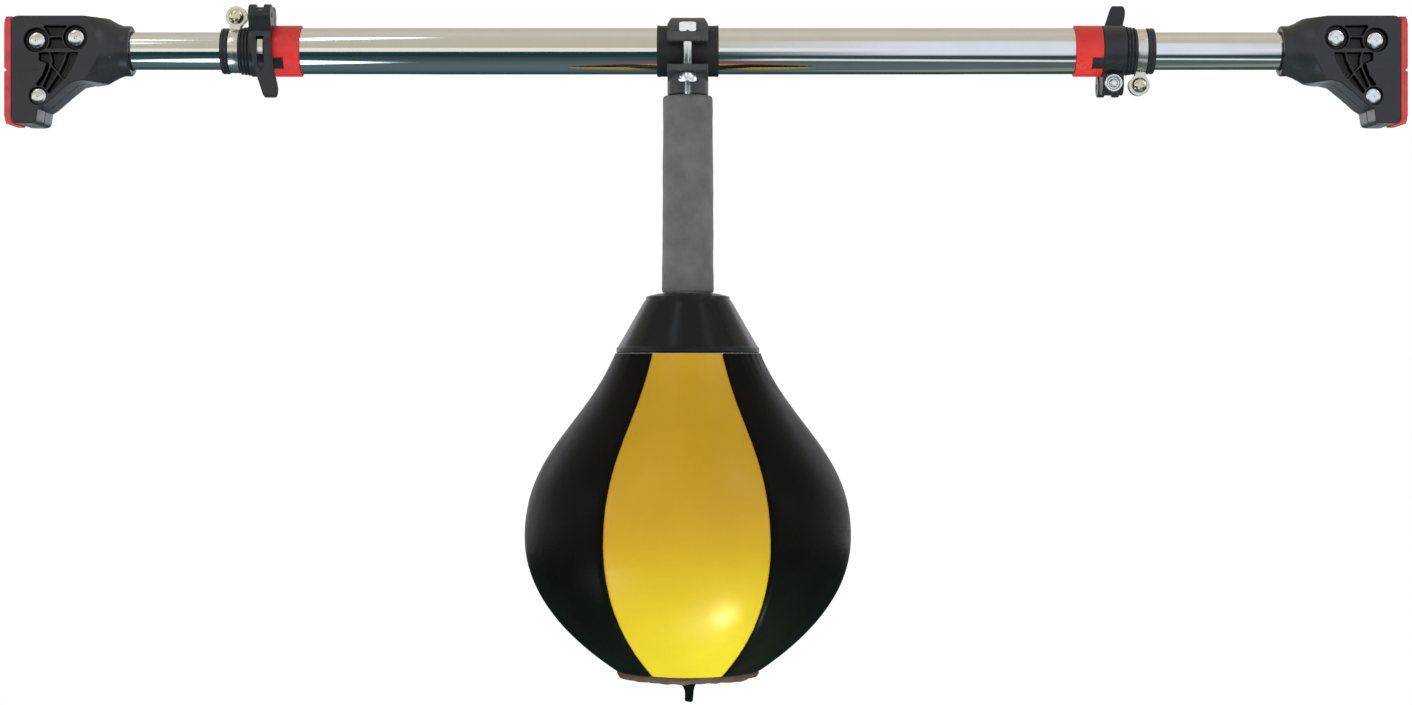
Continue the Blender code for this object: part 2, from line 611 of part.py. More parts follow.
def build_strap(side, frame):
    """The steel band round the collar's split sleeve, with two ears drawn together by a screw."""
    inner = SEAT_RADIUS + GAP
    start = STRAP_START + 0.0002
    end = start + STRAP_WIDTH - 0.0004
    screw_x = (start + end) / 2 + 0.0008
    band = ring(inner + STRAP_THICKNESS, inner, start, end, "X")
    strap = add_object(f"{side}_strap", band, frame, "screw_steel")
    ears = []
    for low, high in ((-EAR_OUT, -EAR_IN), (EAR_IN, EAR_OUT)):
        ear = [(start, 0.0168), (start, 0.0142), (end, 0.0142), (end, 0.0168)]
        ear.extend(arc((screw_x, CLAMP_SCREW_Z), EAR_RADIUS, -20.0, 200.0, 7))
        ears.append(prism(ear, low, high))
    combine(strap, merged(*ears), "UNION")
    cut(strap, box((start - 0.001, -EAR_IN, 0.0120), (end + 0.001, EAR_IN, 0.0400)))
    at_screw = (screw_x, 0.0, CLAMP_SCREW_Z)
    hole = cylinder(STRAP_SCREW_RADIUS + GAP, -0.02, 0.02, "Y", at_screw, sides=FINE)
    cut(strap, merged(cylinder(inner, start - 0.001, end + 0.001, "X"), hole))

    back = -EAR_OUT - GAP
    rim = 0.0052
    head = [(0.0, back - 0.0032), (rim / 2, back - 0.0029), (rim - 0.0008, back - 0.0020),
            (rim, back - 0.0008), (rim, back), (STRAP_SCREW_RADIUS, back), (STRAP_SCREW_RADIUS, 0.0085),
            (0.0, 0.0085)]
    add_object(f"{side}_strap_screw", turned(head, "Y", at_screw, sides=FINE), frame, "brass_plated")
    nut_start = EAR_OUT + GAP
    nut = ring(0.0042, STRAP_SCREW_RADIUS + GAP, nut_start, nut_start + 0.0032, "Y", at_screw, sides=FINE)
    add_object(f"{side}_strap_nut", nut, frame, "screw_steel")


def lever_side(side):
    """+1 where the lever lies in front of its collar, -1 where it lies behind."""
    return 1.0 if side == "left" else -1.0


def build_lever_bolt(side, frame):
    """The eye bolt through the collar's lugs, fitted from the front on the left and the rear on the right."""
    x, y, z = LEVER_PIVOT
    toward = lever_side(side)
    eye = ring(EYE_RADIUS, PIN_RADIUS + GAP, -0.0022, 0.0022, "X", (x, toward * y, z), sides=FINE)
    bolt = add_object(f"{side}_lever_bolt", eye, frame, "screw_steel")
    near, far = sorted((toward * (y + 0.0030), toward * 0.0130))
    combine(bolt, cylinder(LEVER_BOLT_RADIUS, near, far, "Y", (x, 0.0, z), sides=FINE), "UNION")
    low, high = sorted((toward * (LUG_HALF_DEPTH + GAP), toward * (LUG_HALF_DEPTH + 0.0045)))
    nut = ring(0.0060, LEVER_BOLT_RADIUS + GAP, low, high, "Y", (x, 0.0, z), sides=FINE)
    add_object(f"{side}_lever_nut", nut, frame, "screw_steel")


# ---- cam levers ----
def lever_outline():
    """The lever's side view in the YZ plane about its pivot: a round cam head and a curved arm."""
    _, pivot_y, pivot_z = LEVER_PIVOT
    head_radius = 0.0074
    inner, outer = BODY_RADIUS + 0.0009, BODY_RADIUS + 0.0046
    outside = []
    inside = []
    for i in range(7):
        angle = math.radians(148.0 + (182.0 - 148.0) * i / 6)
        outside.append((outer * math.cos(angle) - pivot_y, outer * math.sin(angle) - pivot_z))
        inside.append((inner * math.cos(angle) - pivot_y, inner * math.sin(angle) - pivot_z))
    tip = [(-0.0222 - pivot_y, -0.0325 - pivot_z), (-0.0212 - pivot_y, -0.0342 - pivot_z),
           (-0.0196 - pivot_y, -0.0338 - pivot_z), (-0.0190 - pivot_y, -0.0320 - pivot_z)]
    head = arc((0.0, 0.0), head_radius, -62.0, 205.0, 10)
    return head + outside + tip + list(reversed(inside))


def build_lever(side, frame):
    """A lever in its own frame, with the origin on its pin. Its arm leans towards +X as it falls."""
    half_width = LEVER_HALF_WIDTH
    block = prism(lever_outline(), -half_width, half_width + 0.008, "YZ")
    lever = add_object(f"{side}_lever", block, frame, "black_plastic")
    pivot_z = LEVER_PIVOT[2]
    face = [(-half_width, 0.0090), (half_width, 0.0090), (half_width, -0.0180), (0.0100, -pivot_z - 0.0150),
            (0.0130, -pivot_z - 0.0280), (0.0125, -pivot_z - 0.0325), (0.0105, -pivot_z - 0.0350),
            (0.0050, -pivot_z - 0.0350), (0.0028, -pivot_z - 0.0330), (-0.0030, -pivot_z - 0.0150),
            (-half_width, -0.0180)]
    combine(lever, prism(face, -0.03, 0.03), "INTERSECT")
    slot = [(-SLOT_HALF_WIDTH, SLOT_TOP), (SLOT_HALF_WIDTH, SLOT_TOP), (0.0032, -pivot_z - 0.0120),
            (0.0014, -pivot_z - 0.0160), (-0.0010, -pivot_z - 0.0120)]
    cut(lever, prism(slot, -0.03, 0.03))
    behind_eye = box((-SLOT_HALF_WIDTH, -EYE_RADIUS - 0.0004, -0.0080), (SLOT_HALF_WIDTH, 0.03, 0.0120))
    over_eye = box((-SLOT_HALF_WIDTH, -0.03, 0.0026), (SLOT_HALF_WIDTH, 0.0, 0.0120))
    cut(lever, behind_eye)
    cut(lever, over_eye)
    cut(lever, cylinder(PIN_RADIUS + GAP, -0.02, 0.02, "X", sides=FINE))
    pin = cylinder(PIN_RADIUS, -half_width + 0.0004, half_width - 0.0004, "X", sides=FINE, chamfer=0.0003)
    add_object(f"{side}_lever_pin", pin, frame, "screw_steel")


# ---- spring and sleeve ----
def build_spring(frame):
    """A close-wound coil, swept in mesh, and the foam tube that covers it."""
    origin_z = UPPER_BEND_Z
    turns = (SPRING_TOP - SPRING_BOTTOM) / SPRING_PITCH
    per_turn = 8
    wire_sides = 4
    count = int(round(turns * per_turn))
    shape = bmesh.new()
    rings = []
    for i in range(count + 1):
        angle = math.tau * i / per_turn
        z = SPRING_TOP + (SPRING_BOTTOM - SPRING_TOP) * i / count - origin_z
        outward = Vector((math.cos(angle), math.sin(angle), 0.0))
        loop = []
        for j in range(wire_sides):
            turn = math.tau * j / wire_sides
            reach = SPRING_RADIUS + SPRING_WIRE * math.cos(turn)
            height = z + SPRING_WIRE * math.sin(turn)
            loop.append(shape.verts.new(outward * reach + Vector((0.0, 0.0, height))))
        rings.append(loop)
    for this, after in zip(rings, rings[1:]):
        for j in range(wire_sides):
            k = (j + 1) % wire_sides
            shape.faces.new((this[j], this[k], after[k], after[j]))
    shape.faces.new(rings[0])
    shape.faces.new(rings[-1])
    add_object("spring", shape, frame, "spring_steel")

    inner = SPRING_RADIUS + SPRING_WIRE + GAP
    top, bottom = SLEEVE_TOP - GAP - origin_z, SLEEVE_BOTTOM - origin_z
    soft = 0.0018
    outline = [(inner, bottom), (SLEEVE_RADIUS - soft, bottom), (SLEEVE_RADIUS, bottom + soft),
               (SLEEVE_RADIUS, top - soft), (SLEEVE_RADIUS - soft, top), (inner, top)]
    add_object("foam_sleeve", turned(outline), frame, "grey_foam")


# ---- ball ----
def bezier(a, b, c, d, steps):
    points = []
    for i in range(steps + 1):
        t = i / steps
        s = 1.0 - t
        points.append((s**3 * a[0] + 3 * s * s * t * b[0] + 3 * s * t * t * c[0] + t**3 * d[0],
                       s**3 * a[1] + 3 * s * s * t * b[1] + 3 * s * t * t * c[1] + t**3 * d[1]))
    return points


def ball_profile(inset=0.0, steps=6):
    """The ball's (radius, height) curve from the cap down to the bottom patch, moved inwards by inset."""
    neck = (0.0500, BALL_TOP)
    foot = (0.0498, BALL_BOTTOM)
    waist = (BALL_RADIUS, BALL_WAIST_Z)
    above, below = (BALL_RADIUS, BALL_WAIST_Z + 0.0554), (BALL_RADIUS, BALL_WAIST_Z - 0.0390)
    upper = bezier(neck, (0.0721, BALL_TOP - 0.0516), above, waist, steps)
    lower = bezier(waist, below, (0.0854, BALL_BOTTOM + 0.0242), foot, steps)
    points = upper + lower[1:]
    moved = []
    for i, (radius, height) in enumerate(points):
        before = points[max(i - 1, 0)]
        after = points[min(i + 1, len(points) - 1)]
        along = Vector((after[0] - before[0], after[1] - before[1])).normalized()
        moved.append((radius + along.y * inset, height - along.x * inset))
    return moved


def build_panels(frame):
    """The ball's panels, yellow and black in turn, with a yellow one to the front."""
    panel = ball_profile() + list(reversed(ball_profile(PANEL_THICKNESS)))
    width = math.tau / PANEL_COUNT
    seam = GAP / CAP_RIM_RADIUS / 2
    number = {"yellow": 0, "black": 0}
    for i in range(PANEL_COUNT):
        colour = "black" if i % 2 else "yellow"
        number[colour] += 1
        middle = -math.pi / 2 + i * width
        first = middle - width / 2 + seam
        shape = turned(panel, place=BALL_PLACE, sides=5, first=first, sweep=width - 2 * seam)
        add_object(f"{colour}_panel_{number[colour]}", shape, frame, f"{colour}_leather")


def build_bladder(frame):
    """The hollow bladder, open at its valve hole in the bottom."""
    skin = ball_profile(PANEL_THICKNESS + BLADDER_GAP, steps=4)
    lining = ball_profile(PANEL_THICKNESS + BLADDER_GAP + BLADDER_THICKNESS, steps=4)
    top, low = skin[0][1], skin[-1][1]
    outline = [(0.0, top)] + skin + [(VALVE_RADIUS, low), (VALVE_RADIUS, low + BLADDER_THICKNESS)]
    outline += list(reversed(lining)) + [(0.0, top - BLADDER_THICKNESS)]
    add_object("bladder", turned(outline, place=BALL_PLACE, sides=15), frame, "black_rubber")


def build_neck_cap(frame):
    """The moulded cap on the ball's neck, and the stud in it that fills the foot of the spring."""
    floor = BALL_TOP + GAP
    lip = CAP_TOP - 0.0020
    hole = STUD_FOOT_RADIUS + 0.0004
    cap = [(hole, floor), (CAP_RIM_RADIUS - 0.0004, floor), (CAP_RIM_RADIUS, floor + 0.0006),
           (CAP_RIM_RADIUS, CAP_RIM_Z + 0.0016), (CAP_TOP_RADIUS + 0.0012, CAP_TOP - 0.0056),
           (CAP_TOP_RADIUS, CAP_TOP - 0.0044), (CAP_TOP_RADIUS, CAP_TOP - 0.0028), (0.0200, CAP_TOP),
           (0.0190, lip), (hole, lip)]
    add_object("neck_cap", turned(cap, place=BALL_PLACE), frame, "black_plastic")
    foot = CAP_RIM_Z + 0.004
    seat = lip + GAP
    under_spring = SPRING_BOTTOM - SPRING_WIRE - GAP
    end = -0.1350
    stud = [(0.0, foot), (STUD_FOOT_RADIUS - 0.0003, foot), (STUD_FOOT_RADIUS, foot + 0.001),
            (STUD_FOOT_RADIUS, seat), (STUD_COLLAR_RADIUS, seat), (STUD_COLLAR_RADIUS, under_spring),
            (STUD_RADIUS, under_spring), (STUD_RADIUS, end - 0.001), (STUD_RADIUS - 0.001, end), (0.0, end)]
    add_object("ball_stud", turned(stud, place=BALL_PLACE, sides=FINE), frame, "screw_steel")


def build_ball_bottom(frame):
    """The bulging patch that closes the ball, and the knotted end of its lace."""
    top = BALL_BOTTOM - GAP
    patch = [(0.0030, top - PATCH_DEPTH), (0.0120, top - 0.0060), (0.0280, top - 0.0046),
             (0.0400, top - 0.0030), (0.0475, top - 0.0014), (0.0490, top - 0.0004), (0.0490, top),
             (0.0030, top)]
    add_object("bottom_patch", turned(patch, place=BALL_PLACE), frame, "black_leather")
    base = top - PATCH_DEPTH - GAP
    knot = [(0.0, TAIL_END), (0.0026, TAIL_END), (0.0032, TAIL_END + 0.0010), (0.0028, TAIL_END + 0.0050),
            (0.0040, TAIL_END + 0.0085), (0.0064, base - 0.0035), (0.0085, base), (0.0, base)]
    add_object("tie_knot", turned(knot, place=BALL_PLACE, sides=FINE), frame, "black_leather")


def build_ball(frame):
    build_panels(frame)
    build_bladder(frame)
    build_neck_cap(frame)
    build_ball_bottom(frame)


# ---- assembly ----
def main():
    clear_scene()
    half_turn_y = Matrix.Rotation(math.pi, 4, "Y")
    half_turn_x = Matrix.Rotation(math.pi, 4, "X")

    centre = frame_at("centre_bar_frame", (CENTRE_X, 0.0, 0.0))
    build_centre_bar(centre)
    build_clamp(centre)
    build_clamp_bolts(centre)
    build_hanger(centre)

    build_foot("left", frame_at("left_end_frame", (0.0, 0.0, 0.0)), False)
    build_foot("right", frame_at("right_end_frame", (BAR_SPAN, 0.0, 0.0)), True)

    right_x = 2 * CENTRE_X - COLLAR_X
    build_collar("left", frame_at("left_collar_frame", (COLLAR_X, 0.0, 0.0)))
    build_collar("right", frame_at("right_collar_frame", (right_x, 0.0, 0.0), half_turn_y))

    x, y, z = LEVER_PIVOT
    build_lever("left", frame_at("left_lever_axis", (COLLAR_X + x, y, z)))
    build_lever("right", frame_at("right_lever_axis", (right_x - x, -y, -z), half_turn_x))

    build_spring(frame_at("upper_bend_axis", (CENTRE_X, 0.0, UPPER_BEND_Z)))
    build_ball(frame_at("lower_bend_axis", (CENTRE_X, 0.0, LOWER_BEND_Z)))


main()
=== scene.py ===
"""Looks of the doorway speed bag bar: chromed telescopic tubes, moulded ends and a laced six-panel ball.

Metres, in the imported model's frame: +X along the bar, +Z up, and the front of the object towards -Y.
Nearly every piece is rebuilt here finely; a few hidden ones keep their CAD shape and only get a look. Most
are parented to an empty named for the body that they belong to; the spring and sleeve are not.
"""
import math

import bmesh
import bpy
from mathutils import Matrix, Vector, noise


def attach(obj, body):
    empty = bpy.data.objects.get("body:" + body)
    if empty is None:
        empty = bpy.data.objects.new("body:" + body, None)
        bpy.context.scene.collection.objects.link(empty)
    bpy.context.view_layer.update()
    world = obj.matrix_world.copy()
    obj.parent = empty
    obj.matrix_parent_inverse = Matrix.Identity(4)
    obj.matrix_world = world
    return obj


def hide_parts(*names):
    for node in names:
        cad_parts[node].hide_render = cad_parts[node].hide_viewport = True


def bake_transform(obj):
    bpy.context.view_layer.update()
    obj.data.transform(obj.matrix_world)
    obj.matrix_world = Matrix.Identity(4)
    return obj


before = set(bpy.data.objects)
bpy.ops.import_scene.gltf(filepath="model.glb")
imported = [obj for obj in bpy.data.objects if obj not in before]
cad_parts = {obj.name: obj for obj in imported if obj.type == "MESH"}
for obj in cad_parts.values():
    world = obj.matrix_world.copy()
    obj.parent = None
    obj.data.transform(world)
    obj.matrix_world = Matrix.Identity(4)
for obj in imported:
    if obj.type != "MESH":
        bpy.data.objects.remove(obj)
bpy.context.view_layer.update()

# ---- dimensions, as in the CAD ----
SIDES = 96                   # sides of a round piece
FINE = 48                    # sides of a small one
GAP = 0.0003                 # clearance between touching pieces
BAR_SPAN = 0.958
CENTRE_X = 0.4665
COLLAR_X = 0.1455
RIGHT_COLLAR_X = 2 * CENTRE_X - COLLAR_X
TUBE_RADIUS = 0.016
TUBE_BORE = 0.0145
TUBE_HALF_LENGTH = 0.280
ROD_RADIUS = 0.013
ROD_BORE = 0.0115
ROD_START = 0.033
ROD_LENGTH = 0.372
SCREW_RADIUS = 0.006

PAD_THICKNESS = 0.0045
PAD_GROOVE_Z = -0.0150
FOOT_TOP = 0.022
FOOT_BOTTOM = -0.0515
FOOT_HALF_DEPTH = 0.021
FOOT_MOUTH = 0.083
NECK_RADIUS = 0.0173
HEEL_X = 0.0221
FOOT_SCREWS = ((0.0217, 0.0053, 0.0083), (0.0484, 0.0071, 0.0083), (0.0229, -0.0328, 0.0062))
FOOT_SCREW_RADIUS = 0.0025
POCKET_FLOOR = -0.0160       # depth of the pockets that take the foot screws' heads
BOSS_WALL = 0.0008
RIB_WIDTH = 0.0012
RECESS_DEPTH = 0.0060

FLANGE_RADIUS = 0.0157
SEAT_RADIUS = 0.0140
BODY_RADIUS = 0.0176
COLLAR_LENGTH = 0.0357
STRAP_START = 0.0053
STRAP_WIDTH = 0.0072
STRAP_THICKNESS = 0.0009
RIDGE_START = 0.0128
RIDGE_COUNT = 3
RIDGE_RADIUS = 0.0162
BODY_START = 0.0200
RING_START = 0.0360
RING_LENGTH = 0.0188
RING_RADIUS = 0.0176
TOOTH_LENGTH = 0.0076
TOOTH_MIDDLE = math.radians(-35.0)
TOOTH_HALF_ANGLE = math.radians(13.5)
TOOTH_COUNT = 2
CLAMP_SCREW_Z = 0.0236
LEVER_PIVOT = (0.0287, -0.0153, 0.0230)
LEVER_HALF_WIDTH = 0.0076
SLOT_HALF_WIDTH = 0.0026     # the lever's two slots
SLOT_TOP = -0.0150
LUG_HALF_WIDTH = 0.0078
LUG_HALF_DEPTH = 0.0074

LINER_RADIUS = 0.0178
LINER_LENGTH = 0.0424
CLAMP_BORE = 0.0181
CLAMP_HALF_WIDTH = 0.0140
CLAMP_TOP = 0.0230
CLAMP_HALF_DEPTH = 0.0310
PLATE_TOP = (0.0037, 0.0101)
PLATE_BOTTOM = (-0.0166, -0.0121)
BOLT_Y = 0.0240
BOLT_RADIUS = 0.0030
BOLT_END = -0.0320
HEAD_RADIUS = 0.0066         # to the corners of a clamp bolt's head
HEAD_HEIGHT = 0.0064
HEAD_POCKET_RADIUS = 0.0070
NUT_RADIUS = 0.0070
NUT_HEIGHT = 0.0070
HANGER_NECK_RADIUS = 0.01415
HANGER_NECK_END = -0.0307
CLAMP_VOXEL = 0.00045        # the grid that rounds the clamp's edges

SLEEVE_TOP = -0.0313
SLEEVE_BOTTOM = -0.1668
SLEEVE_RADIUS = 0.0178
SPRING_RADIUS = 0.0108
SPRING_WIRE = 0.0022
SPRING_TOP = -0.0372
SPRING_BOTTOM = -0.1604
SPRING_PITCH = 0.0056
SPLIT_Z = -0.1000            # the spring and sleeve are in two halves, which meet at this height
UPPER_BEND = (-0.0420, -0.0980)
LOWER_BEND = (-0.1020, -0.1580)

BALL_TOP = -0.2085
BALL_BOTTOM = -0.4263
BALL_RADIUS = 0.1123
BALL_WAIST_Z = -0.3334
PANEL_THICKNESS = 0.0025
PANEL_COUNT = 6
CAP_TOP_RADIUS = 0.0290
CAP_TOP = -0.1672
CAP_RIM_RADIUS = 0.0494
CAP_RIM_Z = -0.2070
TAIL_END = -0.4495

# ---- the photograph's viewpoint; the distance is an estimate ----
CAMERA_PLACE = (0.479, -1.75, -0.208)
CAMERA_SENSOR = 36.0         # millimetres
CAMERA_LENS = 64.6           # millimetres


# ---- mesh tools ----
def axis_turn(axis):
    """The turn that takes +Z to the named axis."""
    turns = {
        "Z": Matrix(),
        "X": Matrix.Rotation(math.radians(90.0), 4, "Y"),
        "Y": Matrix.Rotation(math.radians(-90.0), 4, "X"),
    }
    return turns[axis]


def rounded(outline, radius, steps=3, turning=True):
    """A closed outline with its corners eased. Corners on the axis of a turned outline stay as they are."""
    eased = []
    count = len(outline)
    for i, corner in enumerate(outline):
        here = Vector(corner)
        back = Vector(outline[i - 1]) - here
        ahead = Vector(outline[(i + 1) % count]) - here
        straight = back.normalized().dot(ahead.normalized()) < -0.985
        if straight or (turning and here.x < 1e-9):
            eased.append(corner)
            continue
        start = here + back.normalized() * min(radius, back.length * 0.45)
        end = here + ahead.normalized() * min(radius, ahead.length * 0.45)
        for step in range(steps + 1):
            t = step / steps
            point = start.lerp(here, t).lerp(here.lerp(end, t), t)
            eased.append((point.x, point.y))
    return eased


def turned(outline, axis="Z", place=(0.0, 0.0, 0.0), sides=SIDES, first=0.0, sweep=math.tau):
    """Turn a closed outline of (radius, height) points about an axis. A part turn gets two end faces."""
    shape = bmesh.new()
    full = abs(sweep - math.tau) < 1e-9
    columns = []
    for step in range(sides if full else sides + 1):
        angle = first + sweep * step / sides
        column = []
        for radius, height in outline:
            column.append(shape.verts.new((radius * math.cos(angle), radius * math.sin(angle), height)))
        columns.append(column)
    count = len(outline)
    for step in range(sides):
        this, after = columns[step], columns[(step + 1) % len(columns)]
        for low in range(count):
            high = (low + 1) % count
            corners = [this[low], after[low], after[high], this[high]]
            if outline[low][0] < 1e-9:
                corners.remove(after[low])
            if outline[high][0] < 1e-9:
                corners.remove(after[high])
            if len(corners) > 2:
                shape.faces.new(corners)
    if not full:
        shape.faces.new(columns[0])
        shape.faces.new(columns[-1])
    bmesh.ops.remove_doubles(shape, verts=shape.verts, dist=1e-6)
    bmesh.ops.transform(shape, matrix=Matrix.Translation(place) @ axis_turn(axis), verts=shape.verts)
    return shape


def cylinder(radius, low, high, axis="Z", place=(0.0, 0.0, 0.0), sides=FINE, ease=0.0):
    outline = [(0.0, low), (radius, low), (radius, high), (0.0, high)]
    if ease:
        outline = rounded(outline, ease)
    return turned(outline, axis, place, sides)


def ring(outer, inner, low, high, axis="Z", place=(0.0, 0.0, 0.0), sides=SIDES, ease=0.0):
    outline = [(inner, low), (outer, low), (outer, high), (inner, high)]
    if ease:
        outline = rounded(outline, ease)
    return turned(outline, axis, place, sides)


def box(low, high):
    shape = bmesh.new()
    bmesh.ops.create_cube(shape, size=1.0)
    low, high = Vector(low), Vector(high)
    for vert in shape.verts:
        for i in range(3):
            vert.co[i] = low[i] if vert.co[i] < 0 else high[i]
    return shape


def prism(outline, low, high, plane="XZ", edge=0.0):
    """An outline in the XZ, YZ or XY plane, extruded along the third axis. Edge rounds the two end rims."""
    spots = {
        "XZ": lambda a, b, depth: (a, depth, b),
        "YZ": lambda a, b, depth: (depth, a, b),
        "XY": lambda a, b, depth: (a, b, depth),
    }
    shape = bmesh.new()
    rows = []
    for depth in (low, high):
        row = []
        for a, b in outline:
            row.append(shape.verts.new(spots[plane](a, b, depth)))
        rows.append(row)
    ends = [shape.faces.new(rows[0]), shape.faces.new(reversed(rows[1]))]
    for i in range(len(outline)):
        j = (i + 1) % len(outline)
        shape.faces.new((rows[0][i], rows[1][i], rows[1][j], rows[0][j]))
    if edge:
        rims = set(ends[0].edges) | set(ends[1].edges)
        bmesh.ops.bevel(shape, geom=list(rims), offset=edge, segments=3, profile=0.5, affect="EDGES")
    return shape


def arc(centre, radius, start, end, steps):
    """Points of an arc, in degrees, both ends included."""
    points = []
    for i in range(steps + 1):
        angle = math.radians(start + (end - start) * i / steps)
        points.append((centre[0] + radius * math.cos(angle), centre[1] + radius * math.sin(angle)))
    return points


def bezier(a, b, c, d, steps):
    points = []
    for i in range(steps + 1):
        t = i / steps
        s = 1.0 - t
        points.append((s**3 * a[0] + 3 * s * s * t * b[0] + 3 * s * t * t * c[0] + t**3 * d[0],
                       s**3 * a[1] + 3 * s * s * t * b[1] + 3 * s * t * t * c[1] + t**3 * d[1]))
    return points


def strip(points, width):
    """The outline of a ribbon of one width along a polyline."""
    left, right = [], []
    for i, point in enumerate(points):
        before = Vector(points[max(i - 1, 0)])
        after = Vector(points[min(i + 1, len(points) - 1)])
        along = (after - before).normalized()
        side = Vector((-along.y, along.x)) * width / 2
        left.append(tuple(Vector(point) + side))
        right.append(tuple(Vector(point) - side))
    return left + list(reversed(right))


def merged(*shapes):
    """One bmesh that holds several, as separate shells."""
    whole = bmesh.new()
    for shape in shapes:
        mesh = bpy.data.meshes.new("merging")
        shape.to_mesh(mesh)
        shape.free()
        whole.from_mesh(mesh)
        bpy.data.meshes.remove(mesh)
    return whole


def sector(inner, outer, low, high, middle, half_angle, sides=8):
    """A block between two radii about the X axis; angles run from the front, upwards."""
    outline = [(inner, low), (outer, low), (outer, high), (inner, high)]
    shape = turned(outline, "Z", sides=sides, first=math.pi - middle - half_angle, sweep=2.0 * half_angle)
    swap = Matrix(((0, 0, 1, 0), (1, 0, 0, 0), (0, 1, 0, 0), (0, 0, 0, 1)))
    bmesh.ops.transform(shape, matrix=swap, verts=shape.verts)
    return shape


def join_rings(shape, rings, closed=False):
    """Walls between rings of vertices. Closed joins the last ring to the first; else each end is capped."""
    following = rings[1:] + rings[:1] if closed else rings[1:]
    for this, after in zip(rings, following):
        for i in range(len(this)):
            j = (i + 1) % len(this)
            shape.faces.new((this[i], this[j], after[j], after[i]))
    if not closed:
        shape.faces.new(rings[0])
        shape.faces.new(rings[-1])
    return shape


def swept(path, radius, sides=12):
    """A tube of a radius, or of a radius for each point, along a list of points."""
    shape = bmesh.new()
    rings = []
    for i, point in enumerate(path):
        before = path[max(i - 1, 0)]
        after = path[min(i + 1, len(path) - 1)]
        along = (after - before).normalized()
        first = along.cross(Vector((0.31, 0.17, 0.93))).normalized()
        second = along.cross(first)
        reach = radius[i] if isinstance(radius, list) else radius
        loop = []
        for j in range(sides):
            angle = math.tau * j / sides
            loop.append(shape.verts.new(point + (first * math.cos(angle) + second * math.sin(angle)) * reach))
        rings.append(loop)
    return join_rings(shape, rings)


def link(name, shape):
    """A linked object of a bmesh, with its faces turned outwards."""
    bmesh.ops.remove_doubles(shape, verts=shape.verts, dist=1e-6)
    bmesh.ops.recalc_face_normals(shape, faces=shape.faces)
    mesh = bpy.data.meshes.new(name)
    shape.to_mesh(mesh)
    shape.free()
    made = bpy.data.objects.new(name, mesh)
    bpy.context.collection.objects.link(made)
    return made


def shaped(first, *steps, voxel=0.0, rounds=3, keep=1.0):
    """The mesh of a bmesh put through ("UNION" | "INTERSECT" | "DIFFERENCE", bmesh) steps.

    With a voxel size it is remeshed and smoothed, which rounds every edge as moulding does.
    """
    base = link("shaping", first)
    guides = []
    for operation, shape in steps:
        guide = link("guide", shape)
        guides.append(guide)
        step = base.modifiers.new("step", "BOOLEAN")
        step.operation = operation
        step.solver = "EXACT"
        step.object = guide
    if voxel:
        remesh = base.modifiers.new("remesh", "REMESH")
        remesh.mode = "VOXEL"
        remesh.voxel_size = voxel
        soften = base.modifiers.new("soften", "SMOOTH")
        soften.factor = 0.5
        soften.iterations = rounds
        if keep < 1.0:
            thin = base.modifiers.new("thin", "DECIMATE")
            thin.ratio = keep
    graph = bpy.context.evaluated_depsgraph_get()
    mesh = bpy.data.meshes.new_from_object(base.evaluated_get(graph))
    for item in [base] + guides:
        old = item.data
        bpy.data.objects.remove(item, do_unlink=True)
        bpy.data.meshes.remove(old)
    return mesh


def place(name, source, where, look, body, slot, *nodes, sharp=38.0):
    """Put a copy of a mesh, or a bmesh, in the scene on a body, standing for its CAD nodes."""
    if isinstance(source, bpy.types.Mesh):
        mesh = source.copy()
    else:
        mesh = shaped(source)
    mesh.transform(where)
    if where.determinant() < 0.0:
        mesh.flip_normals()
    mesh.materials.clear()
    mesh.materials.append(look)
    mesh.shade_smooth()
    mesh.set_sharp_from_angle(angle=math.radians(sharp))
    piece = bpy.data.objects.new(name, mesh)
    bpy.context.collection.objects.link(piece)
    if nodes:
        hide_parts(*nodes)
    if body:
        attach(piece, body)
    return piece


# ---- material tools ----
def node(tree, kind, **values):
    made = tree.nodes.new(kind)
    for key, value in values.items():
        if key in made.inputs:
            made.inputs[key].default_value = value
        else:
            setattr(made, key, value)
    return made


def shades(colour, amount):
    """A darker and a lighter version of a colour."""
    dark = tuple(channel * (1.0 - amount) for channel in colour)
    light = tuple(min(1.0, channel * (1.0 + amount)) for channel in colour)
    return (*dark, 1.0), (*light, 1.0)


